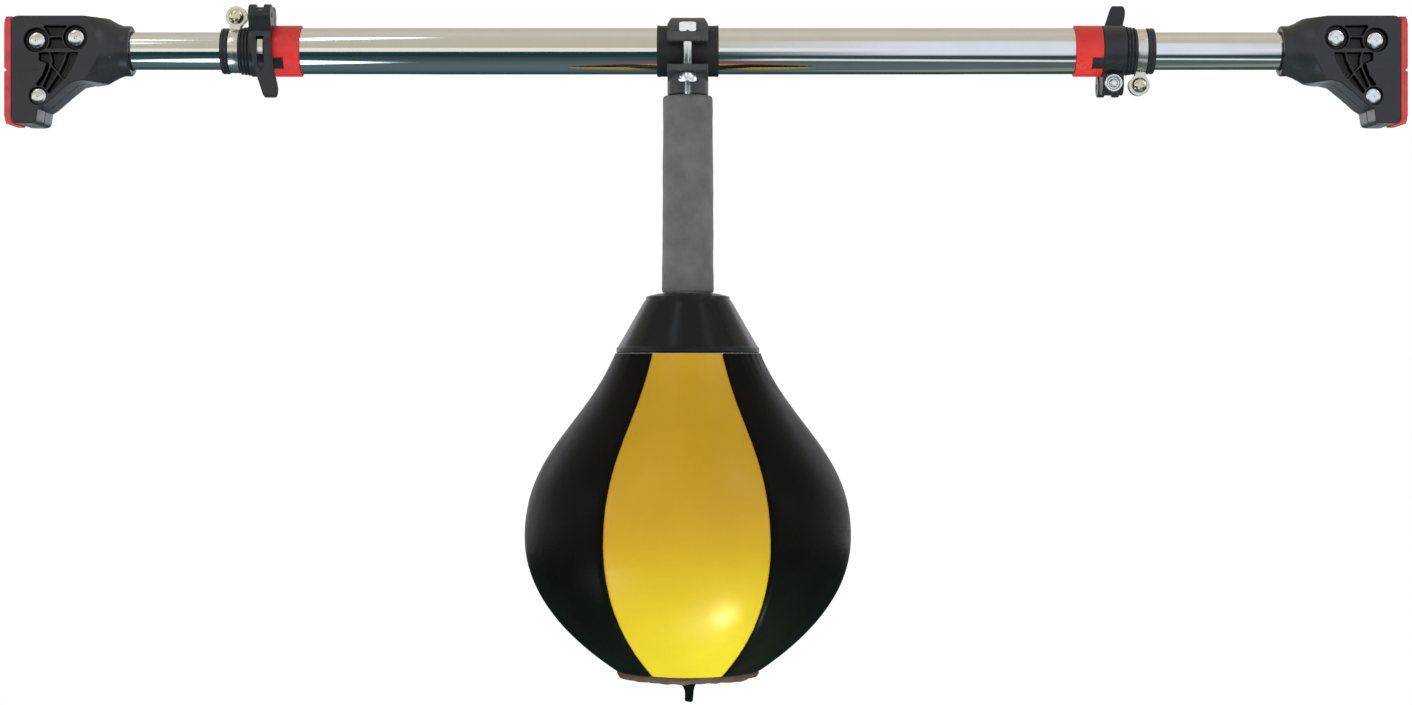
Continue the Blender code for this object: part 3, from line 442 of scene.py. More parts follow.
def material(name, colour, roughness, metallic=0.0, stretch=(1.0, 1.0, 1.0), blotch=25.0, tint=0.10,
             spread=0.08, grain=900.0, depth=0.00008, grain_kind="noise", edge_wear_and_highlight=0.0,
             edge_wear_and_highlight_colour=(0.3, 0.3, 0.3),
             specular=0.5, ior=1.5, painted_crevice_shade=0.0, sheen=0.0):
    """A surface with blotchy colour, uneven gloss and a fine bump, all from the object's own coordinates."""
    made = bpy.data.materials.new(name)
    made.use_nodes = True
    tree = made.node_tree
    shader = tree.nodes["Principled BSDF"]
    shader.inputs["Metallic"].default_value = metallic
    shader.inputs["Specular IOR Level"].default_value = specular
    shader.inputs["IOR"].default_value = ior
    shader.inputs["Sheen Weight"].default_value = sheen
    made.diffuse_color = (*colour, 1.0)

    where = node(tree, "ShaderNodeTexCoord")
    scaled = node(tree, "ShaderNodeMapping")
    scaled.inputs["Scale"].default_value = stretch
    tree.links.new(where.outputs["Object"], scaled.inputs["Vector"])

    broad = node(tree, "ShaderNodeTexNoise", Scale=blotch, Detail=5.0, Roughness=0.6)
    tree.links.new(where.outputs["Object"], broad.inputs["Vector"])
    ramp = node(tree, "ShaderNodeValToRGB")
    dark, light = shades(colour, tint)
    ramp.color_ramp.elements[0].color = dark
    ramp.color_ramp.elements[0].position = 0.35
    ramp.color_ramp.elements[1].color = light
    ramp.color_ramp.elements[1].position = 0.65
    tree.links.new(broad.outputs["Fac"], ramp.inputs["Fac"])
    colour_out = ramp.outputs["Color"]

    # wear and painted edge highlight: sharp convex edges, found by pointiness, are lightened towards the edge
    # colour
    if edge_wear_and_highlight:
        bumps = node(tree, "ShaderNodeNewGeometry")
        edges = node(tree, "ShaderNodeMapRange")
        edges.inputs["From Min"].default_value = 0.545
        edges.inputs["From Max"].default_value = 0.66
        edges.inputs["To Max"].default_value = edge_wear_and_highlight
        tree.links.new(bumps.outputs["Pointiness"], edges.inputs["Value"])
        edge_wear_and_highlight_mix = node(tree, "ShaderNodeMix", data_type="RGBA")
        tree.links.new(edges.outputs["Result"], edge_wear_and_highlight_mix.inputs["Factor"])
        tree.links.new(colour_out, edge_wear_and_highlight_mix.inputs[6])
        edge_wear_and_highlight_mix.inputs[7].default_value = (*edge_wear_and_highlight_colour, 1.0)
        colour_out = edge_wear_and_highlight_mix.outputs[2]
    # painted shade: ambient occlusion darkens the colour in crevices and hollows, standing in for the shade
    # that falls there
    if painted_crevice_shade:
        crevice_occlusion = node(tree, "ShaderNodeAmbientOcclusion", Distance=painted_crevice_shade)
        painted_shade_amount = node(tree, "ShaderNodeMapRange")
        painted_shade_amount.inputs["From Min"].default_value = 0.60
        painted_shade_amount.inputs["From Max"].default_value = 0.97
        painted_shade_mix = node(tree, "ShaderNodeMix", data_type="RGBA")
        painted_shade_mix.inputs[6].default_value = (0.001, 0.001, 0.001, 1.0)
        tree.links.new(crevice_occlusion.outputs["AO"], painted_shade_amount.inputs["Value"])
        tree.links.new(painted_shade_amount.outputs["Result"], painted_shade_mix.inputs["Factor"])
        tree.links.new(colour_out, painted_shade_mix.inputs[7])
        colour_out = painted_shade_mix.outputs[2]
    tree.links.new(colour_out, shader.inputs["Base Color"])

    gloss = node(tree, "ShaderNodeTexNoise", Scale=blotch * 2.7, Detail=6.0, Roughness=0.65)
    tree.links.new(scaled.outputs["Vector"], gloss.inputs["Vector"])
    uneven = node(tree, "ShaderNodeMapRange")
    uneven.inputs["From Min"].default_value = 0.3
    uneven.inputs["From Max"].default_value = 0.7
    uneven.inputs["To Min"].default_value = max(0.02, roughness - spread)
    uneven.inputs["To Max"].default_value = min(1.0, roughness + spread)
    tree.links.new(gloss.outputs["Fac"], uneven.inputs["Value"])
    tree.links.new(uneven.outputs["Result"], shader.inputs["Roughness"])

    if grain_kind == "cells":
        fine = node(tree, "ShaderNodeTexVoronoi", Scale=grain, feature="SMOOTH_F1")
        height = fine.outputs["Distance"]
    else:
        fine = node(tree, "ShaderNodeTexNoise", Scale=grain, Detail=4.0, Roughness=0.6)
        height = fine.outputs["Fac"]
    tree.links.new(scaled.outputs["Vector"], fine.inputs["Vector"])
    bump = node(tree, "ShaderNodeBump", Strength=1.0, Distance=depth)
    tree.links.new(height, bump.inputs["Height"])
    tree.links.new(bump.outputs["Normal"], shader.inputs["Normal"])
    return made


def make_materials():
    black = (0.011, 0.012, 0.014)
    # the lighter colour of sharp plastic edges: wear, and a painted edge highlight
    edge_wear_and_highlight_grey = (0.10, 0.10, 0.11)
    return {
        "chrome": material("chrome", (0.88, 0.87, 0.84), 0.075, 1.0, stretch=(0.02, 1.0, 1.0), blotch=60.0,
                           tint=0.02,
                           spread=0.03, grain=1400.0, depth=0.0000015),
        "bright_steel": material("bright_steel", (0.86, 0.87, 0.87), 0.20, 1.0, blotch=180.0, tint=0.06,
                                 spread=0.08,
                                 grain=2500.0, depth=0.00001),
        "steel": material("steel", (0.55, 0.55, 0.54), 0.32, 1.0, blotch=120.0, tint=0.10, spread=0.10,
                          grain=1800.0,
                          depth=0.00002),
        "strap_steel": material("strap_steel", (0.80, 0.77, 0.69), 0.26, 1.0, stretch=(1.0, 0.15, 0.15),
                                blotch=150.0,
                                tint=0.07, spread=0.08, grain=3500.0, depth=0.00001),
        "plated_screw": material("plated_screw", (0.80, 0.75, 0.55), 0.22, 1.0, blotch=220.0, tint=0.12,
                                 spread=0.10,
                                 grain=2500.0, depth=0.00001),
        "spring_steel": material("spring_steel", (0.30, 0.30, 0.31), 0.38, 1.0, blotch=200.0, tint=0.15,
                                 spread=0.10,
                                 grain=2500.0, depth=0.00002),
        "brass": material("brass", (0.72, 0.56, 0.28), 0.30, 1.0, blotch=160.0, tint=0.10, spread=0.08,
                          grain=2000.0,
                          depth=0.00001),
        # foot plastic: painted shade darkens its crevices; its sharp edges are lightened as wear and as a
        # painted edge highlight
        "foot_plastic": material("foot_plastic", (0.018, 0.0185, 0.022), 0.34, blotch=45.0, tint=0.10,
                                 spread=0.05, grain=2600.0,
                                 depth=0.00002, edge_wear_and_highlight=0.55, edge_wear_and_highlight_colour=edge_wear_and_highlight_grey, specular=0.5,
                                 painted_crevice_shade=0.008),
        "collar_plastic": material("collar_plastic", (0.014, 0.015, 0.019), 0.34, blotch=70.0, tint=0.18,
                                   spread=0.08,
                                   grain=2400.0, depth=0.00003, edge_wear_and_highlight=0.45, edge_wear_and_highlight_colour=edge_wear_and_highlight_grey),
        "clamp_plastic": material("clamp_plastic", (0.050, 0.050, 0.056), 0.42, blotch=80.0, tint=0.18,
                                  spread=0.08,
                                  grain=2200.0, depth=0.00004, edge_wear_and_highlight=0.45, edge_wear_and_highlight_colour=edge_wear_and_highlight_grey),
        "cap_plastic": material("cap_plastic", (0.003, 0.0035, 0.006), 0.25, blotch=40.0, tint=0.15,
                                spread=0.04,
                                grain=500.0, depth=0.000002, specular=0.26),
        "bush_plastic": material("bush_plastic", black, 0.45, blotch=80.0, tint=0.15, grain=2200.0,
                                 depth=0.00003),
        "red_plastic": material("red_plastic", (0.66, 0.020, 0.016), 0.32, blotch=70.0, tint=0.09,
                                spread=0.07,
                                grain=2300.0, depth=0.00003, specular=0.5),
        "pad_rubber": material("pad_rubber", (0.55, 0.035, 0.040), 0.72, blotch=90.0, tint=0.14, spread=0.08,
                               grain=1500.0, depth=0.00010),
        "liner_rubber": material("liner_rubber", (0.013, 0.013, 0.015), 0.52, blotch=90.0, tint=0.15,
                                 spread=0.10,
                                 grain=1700.0, depth=0.00008),
        "bladder_rubber": material("bladder_rubber", (0.020, 0.020, 0.021), 0.60, blotch=50.0, tint=0.15,
                                   grain=1200.0, depth=0.00008),
        "grey_foam": material("grey_foam", (0.135, 0.135, 0.138), 0.88, blotch=55.0, tint=0.16, spread=0.06,
                              grain=1500.0, depth=0.00028, grain_kind="cells", specular=0.25, sheen=0.15),
        "yellow_leather": material("yellow_leather", (0.60, 0.345, 0.008), 0.34, blotch=14.0, tint=0.05,
                                   spread=0.05,
                                   grain=1300.0, depth=0.00007, grain_kind="cells", specular=0.24),
        "black_leather": material("black_leather", (0.0045, 0.0045, 0.0035), 0.36, blotch=16.0, tint=0.25,
                                  spread=0.07,
                                  grain=1300.0, depth=0.00009, grain_kind="cells", specular=0.20, ior=1.22),
        "patch_leather": material("patch_leather", (0.090, 0.046, 0.036), 0.50, blotch=60.0, tint=0.30,
                                  spread=0.07,
                                  grain=1300.0, depth=0.00010, grain_kind="cells", specular=0.2),
    }


# ---- where things stand ----
AT_CENTRE = Matrix.Translation((CENTRE_X, 0.0, 0.0))
AT_LEFT = Matrix()
AT_RIGHT = Matrix.Translation((BAR_SPAN, 0.0, 0.0)) @ Matrix.Diagonal((-1.0, 1.0, 1.0, 1.0))
AT_CENTRE_MIRRORED = AT_CENTRE @ Matrix.Diagonal((-1.0, 1.0, 1.0, 1.0))
AT_LEFT_COLLAR = Matrix.Translation((COLLAR_X, 0.0, 0.0))
AT_RIGHT_COLLAR = Matrix.Translation((RIGHT_COLLAR_X, 0.0, 0.0)) @ Matrix.Rotation(math.pi, 4, "Y")
AT_LEFT_LEVER = AT_LEFT_COLLAR @ Matrix.Translation(LEVER_PIVOT)
AT_RIGHT_LEVER = (Matrix.Translation((RIGHT_COLLAR_X - LEVER_PIVOT[0], -LEVER_PIVOT[1], -LEVER_PIVOT[2]))
                  @ Matrix.Rotation(math.pi, 4, "X"))


# ---- bar ----
def build_tubes(looks):
    tube = ring(TUBE_RADIUS, TUBE_BORE, -TUBE_HALF_LENGTH, TUBE_HALF_LENGTH, "X", ease=0.0004)
    place("centre_tube_look", tube, AT_CENTRE, looks["chrome"], "centre_bar", "chrome_tube", "centre_tube",
          sharp=25.0)
    pin_x, pin_z, _ = FOOT_SCREWS[1]
    rod = shaped(ring(ROD_RADIUS, ROD_BORE, ROD_START, ROD_START + ROD_LENGTH, "X", ease=0.0004),
                 ("DIFFERENCE", cylinder(FOOT_SCREW_RADIUS + GAP, -0.02, 0.02, "Y", (pin_x, 0.0, pin_z))))
    place("left_inner_tube_look", rod, AT_LEFT, looks["chrome"], "left_end", "chrome_tube", "left_inner_tube",
          sharp=25.0)
    place("right_inner_tube_look", rod, AT_RIGHT, looks["chrome"], "right_end", "chrome_tube",
          "right_inner_tube",
          sharp=25.0)


def build_lock_rings(looks):
    start = COLLAR_X + RING_START - CENTRE_X
    end = start + RING_LENGTH
    step = -TUBE_HALF_LENGTH - 0.0020
    outline = [(ROD_RADIUS + GAP, start), (RING_RADIUS, start), (RING_RADIUS, end), (TUBE_RADIUS + GAP, end),
               (TUBE_RADIUS + GAP, step), (ROD_RADIUS + GAP, step)]
    notches = []
    for i in range(TOOTH_COUNT):
        middle = TOOTH_MIDDLE + math.tau * i / TOOTH_COUNT
        notches.append(sector(TUBE_RADIUS + GAP, RING_RADIUS + 0.002, start - 0.001,
                              start + TOOTH_LENGTH + GAP, middle, TOOTH_HALF_ANGLE + 0.02))
    mesh = shaped(turned(rounded(outline, 0.0005), "X"), ("DIFFERENCE", merged(*notches)))
    place("left_lock_ring_look", mesh, AT_CENTRE, looks["red_plastic"], "centre_bar", "red_plastic",
          "left_lock_ring")
    place("right_lock_ring_look", mesh, AT_CENTRE_MIRRORED, looks["red_plastic"], "centre_bar", "red_plastic",
          "right_lock_ring")


# ---- bar ends ----
def foot_outline():
    """The foot's side view, heel to neck, in the XZ plane."""
    corner = 0.004
    back = PAD_THICKNESS + GAP
    points = [(back, FOOT_TOP - corner)]
    points.extend(arc((back + corner, FOOT_TOP - corner), corner, 165.0, 90.0, 6))
    points.extend([(0.0690, FOOT_TOP), (0.0860, 0.0200), (0.0860, -0.0200), (0.0640, -0.0228)])
    points.extend([(0.0520, -0.0222), (0.0455, -0.0236)])
    points.extend([(0.0360, -0.0313), (0.0268, -0.0394), (HEEL_X + 0.0008, -0.0418)])
    points.extend(arc((HEEL_X - corner, FOOT_BOTTOM + corner), corner, 0.0, -90.0, 6))
    points.extend(arc((back + corner, FOOT_BOTTOM + corner), corner, -90.0, -165.0, 6))
    return points


def nose_shape():
    """An elliptical taper that rounds the square foot down to its neck. Stations: x, y radius, z radius."""
    stations = ((0.000, 0.110, 0.110), (0.046, 0.040, 0.040), (0.0505, 0.0335, 0.0350),
                (0.055, 0.0290, 0.0310),
                (0.059, 0.0248, 0.0277), (0.063, 0.0216, 0.0248), (0.0665, 0.0198, 0.0228),
                (0.0695, 0.0187, 0.0210), (0.0737, 0.0177, 0.0187), (0.0775, NECK_RADIUS, NECK_RADIUS),
                (FOOT_MOUTH - 0.0006, NECK_RADIUS, NECK_RADIUS),
                (FOOT_MOUTH, NECK_RADIUS - 0.0006, NECK_RADIUS - 0.0006))
    shape = bmesh.new()
    rings = []
    for x, y_radius, z_radius in stations:
        loop = []
        for i in range(SIDES):
            angle = math.tau * i / SIDES
            loop.append(shape.verts.new((x, y_radius * math.cos(angle), z_radius * math.sin(angle))))
        rings.append(loop)
    return join_rings(shape, rings)


def recess_outlines():
    """The sunk areas of a foot's face, before the ribs are put back into them."""
    upper = [(0.0265, 0.0152), (0.0435, 0.0152), (0.0405, 0.0085), (0.0440, -0.0005), (0.0265, -0.0005),
             (0.0305, 0.0085)]
    lower = [(0.0236, -0.0030), (0.0505, -0.0030), (0.0490, -0.0085), (0.0455, -0.0150), (0.0425, -0.0200),
             (0.0385, -0.0240), (0.0325, -0.0300), (0.0290, -0.0318), (0.0215, -0.0250), (0.0262, -0.0185),
             (0.0290, -0.0105), (0.0236, -0.0085)]
    return upper, lower


def rib_outlines():
    """The thin ribs that stand in the sunk areas."""
    cross = [(0.0290, 0.0077), (0.0420, 0.0077)]
    near = [(0.0300, -0.0020), (0.0318, -0.0060), (0.0322, -0.0100), (0.0300, -0.0165), (0.0255, -0.0265)]
    far = [(0.0428, -0.0020), (0.0412, -0.0080), (0.0385, -0.0140), (0.0345, -0.0205), (0.0290, -0.0285)]
    brace = [(0.0305, -0.0105), (0.0355, -0.0160), (0.0415, -0.0235)]
    outlines = []
    for points in (cross, near, far, brace):
        outlines.append(strip(points, RIB_WIDTH))
    return outlines


def foot_shell(half_name):
    """One moulded half of a foot: pockets for the screw heads, sunk areas and ribs in its flat face."""
    half = FOOT_HALF_DEPTH
    front = half_name == "front"
    low, high = (-half, -GAP / 2) if front else (GAP / 2, half)
    face = -half if front else half
    inward = 1.0 if front else -1.0
    floor = face + inward * RECESS_DEPTH
    cut_low, cut_high = sorted((face - inward * 0.002, floor))
    rib_low, rib_high = sorted((face + inward * 0.0003, floor + inward * 0.001))
    steps = [("INTERSECT", nose_shape())]
    for outline in recess_outlines():
        steps.append(("DIFFERENCE", prism(rounded(outline, 0.0008, turning=False), cut_low, cut_high)))
    for outline in rib_outlines():
        steps.append(("UNION", prism(outline, rib_low, rib_high)))
    for x, z, pocket in FOOT_SCREWS:
        steps.append(("UNION", cylinder(pocket + BOSS_WALL, rib_low, rib_high, "Y", (x, 0.0, z), sides=64)))
    for x, z, pocket in FOOT_SCREWS:
        if front:
            outline = [(0.0, -0.030), (pocket, -0.030), (pocket, POCKET_FLOOR),
                       (FOOT_SCREW_RADIUS + GAP, POCKET_FLOOR), (FOOT_SCREW_RADIUS + GAP, 0.0150),
                       (0.0, 0.0150)]
        else:
            outline = [(0.0, -0.001), (FOOT_SCREW_RADIUS + GAP, -0.001),
                       (FOOT_SCREW_RADIUS + GAP, 0.0155), (0.0, 0.0155)]
        steps.append(("DIFFERENCE", turned(outline, "Y", (x, 0.0, z), sides=64)))
    steps.append(("DIFFERENCE", cylinder(ROD_RADIUS + GAP, ROD_START - GAP, 0.1, "X", sides=SIDES)))
    line = box((0.008, face - 0.001, PAD_GROOVE_Z - 0.00025),
               (0.024, face + inward * 0.0004, PAD_GROOVE_Z + 0.00025))
    if not front:
        line = box((0.008, face - 0.0004, PAD_GROOVE_Z - 0.00025),
                   (0.024, face + 0.001, PAD_GROOVE_Z + 0.00025))
    steps.append(("DIFFERENCE", line))
    return shaped(prism(foot_outline(), low, high), *steps, voxel=0.00050, rounds=3, keep=0.5)


def foot_pad():
    half = FOOT_HALF_DEPTH
    corner = 0.005
    outline = []
    for y, z, start in ((half - corner, FOOT_TOP - corner, 0.0), (-half + corner, FOOT_TOP - corner, 90.0),
                        (-half + corner, FOOT_BOTTOM + corner, 180.0),
                        (half - corner, FOOT_BOTTOM + corner, 270.0)):
        outline.extend(arc((y, z), corner, start, start + 90.0, 8))
    groove = box((-0.001, -0.03, PAD_GROOVE_Z - 0.0009), (0.0015, 0.03, PAD_GROOVE_Z + 0.0009))
    return shaped(prism(outline, 0.0, PAD_THICKNESS, "YZ", edge=0.0010), ("DIFFERENCE", groove), voxel=0.0005,
                  rounds=2, keep=0.3)


def foot_screw():
    """A low domed head and its shank, about the Y axis at the origin."""
    dome = [(0.0, -0.0190), (0.0006, -0.0190), (0.0011, -0.0197), (0.0030, -0.01965), (0.0048, -0.0193),
            (0.0057, -0.0188), (0.0062, -0.0178), (0.0060, POCKET_FLOOR - GAP),
            (FOOT_SCREW_RADIUS, POCKET_FLOOR - GAP), (FOOT_SCREW_RADIUS, 0.0140), (0.0, 0.0150)]
    return shaped(turned(dome, "Y"))


def build_feet(looks):
    meshes = {"front": foot_shell("front"), "rear": foot_shell("rear"), "pad": foot_pad(),
              "screw": foot_screw()}
    for side, where in (("left", AT_LEFT), ("right", AT_RIGHT)):
        body = f"{side}_end"
        for half_name in ("front", "rear"):
            place(f"{side}_foot_{half_name}_shell_look", meshes[half_name], where, looks["foot_plastic"],
                  body,
                  "foot_plastic", f"{side}_foot_{half_name}_shell", sharp=70.0)
        place(f"{side}_foot_pad_look", meshes["pad"], where, looks["pad_rubber"], body, "pad_rubber",
              f"{side}_foot_pad", sharp=70.0)
        for number, (x, z, _) in enumerate(FOOT_SCREWS, 1):
            place(f"{side}_foot_screw_{number}_look", meshes["screw"],
                  where @ Matrix.Translation((x, 0.0, z)),
                  looks["bright_steel"], body, "bright_steel", f"{side}_foot_screw_{number}")


# ---- lock collars ----
def collar_profile():
    """The split collar's outside, from the flange to the toothed end, with its ridges."""
    groove = (STRAP_START - GAP) / 2
    points = [(ROD_RADIUS + GAP, 0.0), (FLANGE_RADIUS, 0.0), (FLANGE_RADIUS + 0.0002, groove - 0.0005),
              (FLANGE_RADIUS - 0.0005, groove - 0.0003), (FLANGE_RADIUS - 0.0005, groove + 0.0003),
              (FLANGE_RADIUS + 0.0002, groove + 0.0005), (FLANGE_RADIUS, STRAP_START - GAP),
              (SEAT_RADIUS, STRAP_START - GAP), (SEAT_RADIUS, RIDGE_START)]
    pitch = (BODY_START - RIDGE_START) / RIDGE_COUNT
    for i in range(RIDGE_COUNT):
        x = RIDGE_START + i * pitch
        swell = 0.0003 * i
        points.append((RIDGE_RADIUS + swell, x))
        points.append((RIDGE_RADIUS + swell, x + pitch * 0.6))
        points.append((RIDGE_RADIUS + swell - 0.0011, x + pitch * 0.62))
        points.append((RIDGE_RADIUS + swell - 0.0011, x + pitch))
    points.extend([(BODY_RADIUS, BODY_START), (BODY_RADIUS, COLLAR_LENGTH),
                   (ROD_RADIUS + GAP, COLLAR_LENGTH)])
    return points


def lock_collar(side):
    """A collar in its own frame: the outer end at the origin and the middle of the bar towards +X."""
    pivot_x, _, pivot_z = LEVER_PIVOT
    lug = [(-LUG_HALF_DEPTH, 0.0150), (LUG_HALF_DEPTH, 0.0150)]
    lug.extend(arc((0.0, pivot_z + 0.0002), LUG_HALF_DEPTH, 0.0, 180.0, 24))
    teeth = []
    first = TOOTH_MIDDLE if side == "left" else -TOOTH_MIDDLE
    for i in range(TOOTH_COUNT):
        middle = first + math.tau * i / TOOTH_COUNT
        teeth.append(sector(TUBE_RADIUS + 2 * GAP, BODY_RADIUS - 0.0002, COLLAR_LENGTH - 0.002,
                            RING_START + TOOTH_LENGTH - GAP, middle, TOOTH_HALF_ANGLE))
    bolt_hole = cylinder(0.0025 + GAP, -0.02, 0.02, "Y", (pivot_x, 0.0, pivot_z))
    steps = [
        ("UNION", prism(lug, pivot_x - LUG_HALF_WIDTH, COLLAR_LENGTH, "YZ", edge=0.0009)),
        ("UNION", merged(*teeth)),
        ("DIFFERENCE", box((-0.001, -0.0009, 0.0100), (COLLAR_LENGTH + 0.001, 0.0009, 0.0400))),
        ("DIFFERENCE", cylinder(ROD_RADIUS + GAP, -0.001, 0.05, "X", sides=SIDES)),
        ("DIFFERENCE", bolt_hole),
    ]
    return shaped(turned(collar_profile(), "X"), *steps, voxel=0.00036, rounds=2, keep=0.45)


def strap():
    """The steel band round the collar's split sleeve, with two ears drawn together by a screw."""
    inner = SEAT_RADIUS + GAP
    outer = inner + STRAP_THICKNESS
    start = STRAP_START + 0.0002
    end = start + STRAP_WIDTH - 0.0004
    middle = (start + end) / 2
    ears = []
    for low, high in ((-0.0034, -0.0020), (0.0020, 0.0034)):
        ear = [(start, 0.0168), (start, 0.0142), (end, 0.0142), (end, 0.0168)]
        ear.extend(arc((middle + 0.0008, CLAMP_SCREW_Z), 0.0072, -20.0, 200.0, 24))
        ears.append(prism(ear, low, high, edge=0.0002))
    screw_hole = cylinder(0.0023, -0.02, 0.02, "Y", (middle + 0.0008, 0.0, CLAMP_SCREW_Z))
    return shaped(ring(outer, inner, start, end, "X", ease=0.0002),
                  ("UNION", merged(*ears)),
                  ("DIFFERENCE", box((start - 0.001, -0.0020, 0.0120), (end + 0.001, 0.0020, 0.0400))),
                  ("DIFFERENCE", cylinder(inner, start - 0.001, end + 0.001, "X", sides=SIDES)),
                  ("DIFFERENCE", screw_hole))


def threaded(radius, low, high, pitch=0.0008, cut=0.00035):
    """Points of a thread's side view, from low to high."""
    points = []
    turns = max(1, int(round((high - low) / pitch)))
    for i in range(turns):
        z = low + (high - low) * i / turns
        points.append((radius - cut, z))
        points.append((radius, z + (high - low) / turns / 2))
    points.append((radius - cut, high))
    return points


def strap_screw():
    """A pan head with a cross recess, and a threaded shank, about the Y axis."""
    back = -0.0034 - GAP
    head = [(0.0, back - 0.0034), (0.0020, back - 0.0033), (0.0034, back - 0.0029), (0.0046, back - 0.0021),
            (0.0052, back - 0.0010), (0.0052, back - 0.0003), (0.0050, back), (0.0020, back)]
    head.extend(threaded(0.0020, -0.0018, 0.0085))
    head.append((0.0, 0.0085))
    recess = []
    for turn in (0.35, 0.35 + math.pi / 2):
        arm = box((-0.0033, back - 0.0060, -0.00075), (0.0033, back - 0.0012, 0.00075))
        bmesh.ops.rotate(arm, cent=(0, 0, 0), matrix=Matrix.Rotation(turn, 3, "Y"), verts=arm.verts)
        recess.append(arm)
    return shaped(turned(head, "Y", sides=FINE), ("DIFFERENCE", recess[0]), ("DIFFERENCE", recess[1]))


def hex_nut(corner_radius, bore, low, high, flare=0.0):
    """A hexagonal nut about the Z axis, with its corners turned off. A flare narrows its top."""
    outline = arc((0.0, 0.0), corner_radius, 30.0, 330.0, 5)
    turned_off = [(0.0, low - 0.001), (corner_radius * 0.90, low - 0.001), (corner_radius * 0.90, low),
                  (corner_radius, low + 0.0009), (corner_radius, high - 0.0007 - flare),
                  (corner_radius * 0.86 - flare * 0.3, high), (corner_radius * 0.5, high + 0.001),
                  (0.0, high + 0.001)]
    return shaped(prism(outline, low, high, "XY"), ("INTERSECT", turned(turned_off, sides=FINE)),
                  ("DIFFERENCE", cylinder(bore, low - 0.01, high + 0.01)))


def round_nut(toward):
    """The lever bolt's round nut, sunk in its middle, about the Y axis."""
    near = LUG_HALF_DEPTH + GAP
    far = near + 0.0042
    outline = [(0.0028, near), (0.0060, near), (0.0060, far), (0.0046, far), (0.0041, far - 0.0015),
               (0.0028, far - 0.0015)]
    shape = turned(rounded(outline, 0.0004), "Y", sides=FINE)
    if toward < 0:
        bmesh.ops.scale(shape, vec=(1.0, -1.0, 1.0), verts=shape.verts)
    return shaped(shape)


def lever_bolt(toward):
    y = LEVER_PIVOT[1]
    eye = ring(0.0036, 0.0018, -0.0022, 0.0022, "X", (0.0, toward * y, 0.0), sides=FINE, ease=0.0004)
    shank = [(0.0, -0.0124), (0.0025, -0.0124), (0.0025, 0.0068)]
    shank.extend(threaded(0.0025, 0.0072, 0.0122))
    shank.extend([(0.0018, 0.0128), (0.0, 0.0130)])
    rod = turned(shank, "Y", sides=FINE)
    if toward < 0:
        bmesh.ops.scale(rod, vec=(1.0, -1.0, 1.0), verts=rod.verts)
    return shaped(eye, ("UNION", rod))


def lever_outline():
    """The lever's side view in the YZ plane about its pivot: a cam head, and an arm round the collar."""
    _, pivot_y, pivot_z = LEVER_PIVOT
    inner, outer = BODY_RADIUS + 0.0009, BODY_RADIUS + 0.0046
    outside, inside = [], []
    for i in range(17):
        angle = math.radians(148.0 + 34.0 * i / 16)
        outside.append((outer * math.cos(angle) - pivot_y, outer * math.sin(angle) - pivot_z))
        inside.append((inner * math.cos(angle) - pivot_y, inner * math.sin(angle) - pivot_z))
    tip = [(-0.0222 - pivot_y, -0.0325 - pivot_z), (-0.0212 - pivot_y, -0.0342 - pivot_z),
           (-0.0196 - pivot_y, -0.0338 - pivot_z), (-0.0190 - pivot_y, -0.0320 - pivot_z)]
    head = arc((0.0, 0.0), 0.0074, -62.0, 205.0, 32)
    return head + outside + tip + list(reversed(inside))


def cam_lever():
    """A lever in its own frame, with the origin on its pin. Its arm leans towards +X as it falls."""
    half = LEVER_HALF_WIDTH
    drop = -LEVER_PIVOT[2]
    face = [(-half, 0.0090), (half, 0.0090), (half, -0.0180), (0.0100, drop - 0.0150),
            (0.0130, drop - 0.0280),
            (0.0125, drop - 0.0325), (0.0105, drop - 0.0350), (0.0050, drop - 0.0350),
            (0.0028, drop - 0.0330),
            (-0.0030, drop - 0.0150), (-half, -0.0180)]
    slot = [(-SLOT_HALF_WIDTH, SLOT_TOP), (SLOT_HALF_WIDTH, SLOT_TOP), (0.0032, drop - 0.0120),
            (0.0014, drop - 0.0160), (-0.0010, drop - 0.0120)]
    behind_eye = box((-SLOT_HALF_WIDTH, -0.0046, -0.0080), (SLOT_HALF_WIDTH, 0.03, 0.0120))
    over_eye = box((-SLOT_HALF_WIDTH, -0.03, 0.0026), (SLOT_HALF_WIDTH, 0.0, 0.0120))
    return shaped(prism(lever_outline(), -half, half + 0.008, "YZ"),
                  ("INTERSECT", prism(rounded(face, 0.0030, 6, turning=False), -0.03, 0.03)),
                  ("DIFFERENCE", prism(rounded(slot, 0.0008, turning=False), -0.03, 0.03)),
                  ("DIFFERENCE", behind_eye), ("DIFFERENCE", over_eye),
                  ("DIFFERENCE", cylinder(0.0018, -0.02, 0.02, "X")), voxel=0.00036, rounds=3, keep=0.45)


def lever_strip():
    """The small steel spring strip that shows in a lever's slot, in the lever's frame."""
    _, pivot_y, pivot_z = LEVER_PIVOT
    inner, outer = BODY_RADIUS + 0.0012, BODY_RADIUS + 0.0022
    outline = []
    for radius, order in ((outer, range(13)), (inner, range(12, -1, -1))):
        for i in order:
            angle = math.radians(162.0 + 30.0 * i / 12)
            outline.append((radius * math.cos(angle) - pivot_y, radius * math.sin(angle) - pivot_z))
    shape = prism(outline, -0.0019, 0.0019, "YZ", edge=0.0003)
    return shaped(shape)


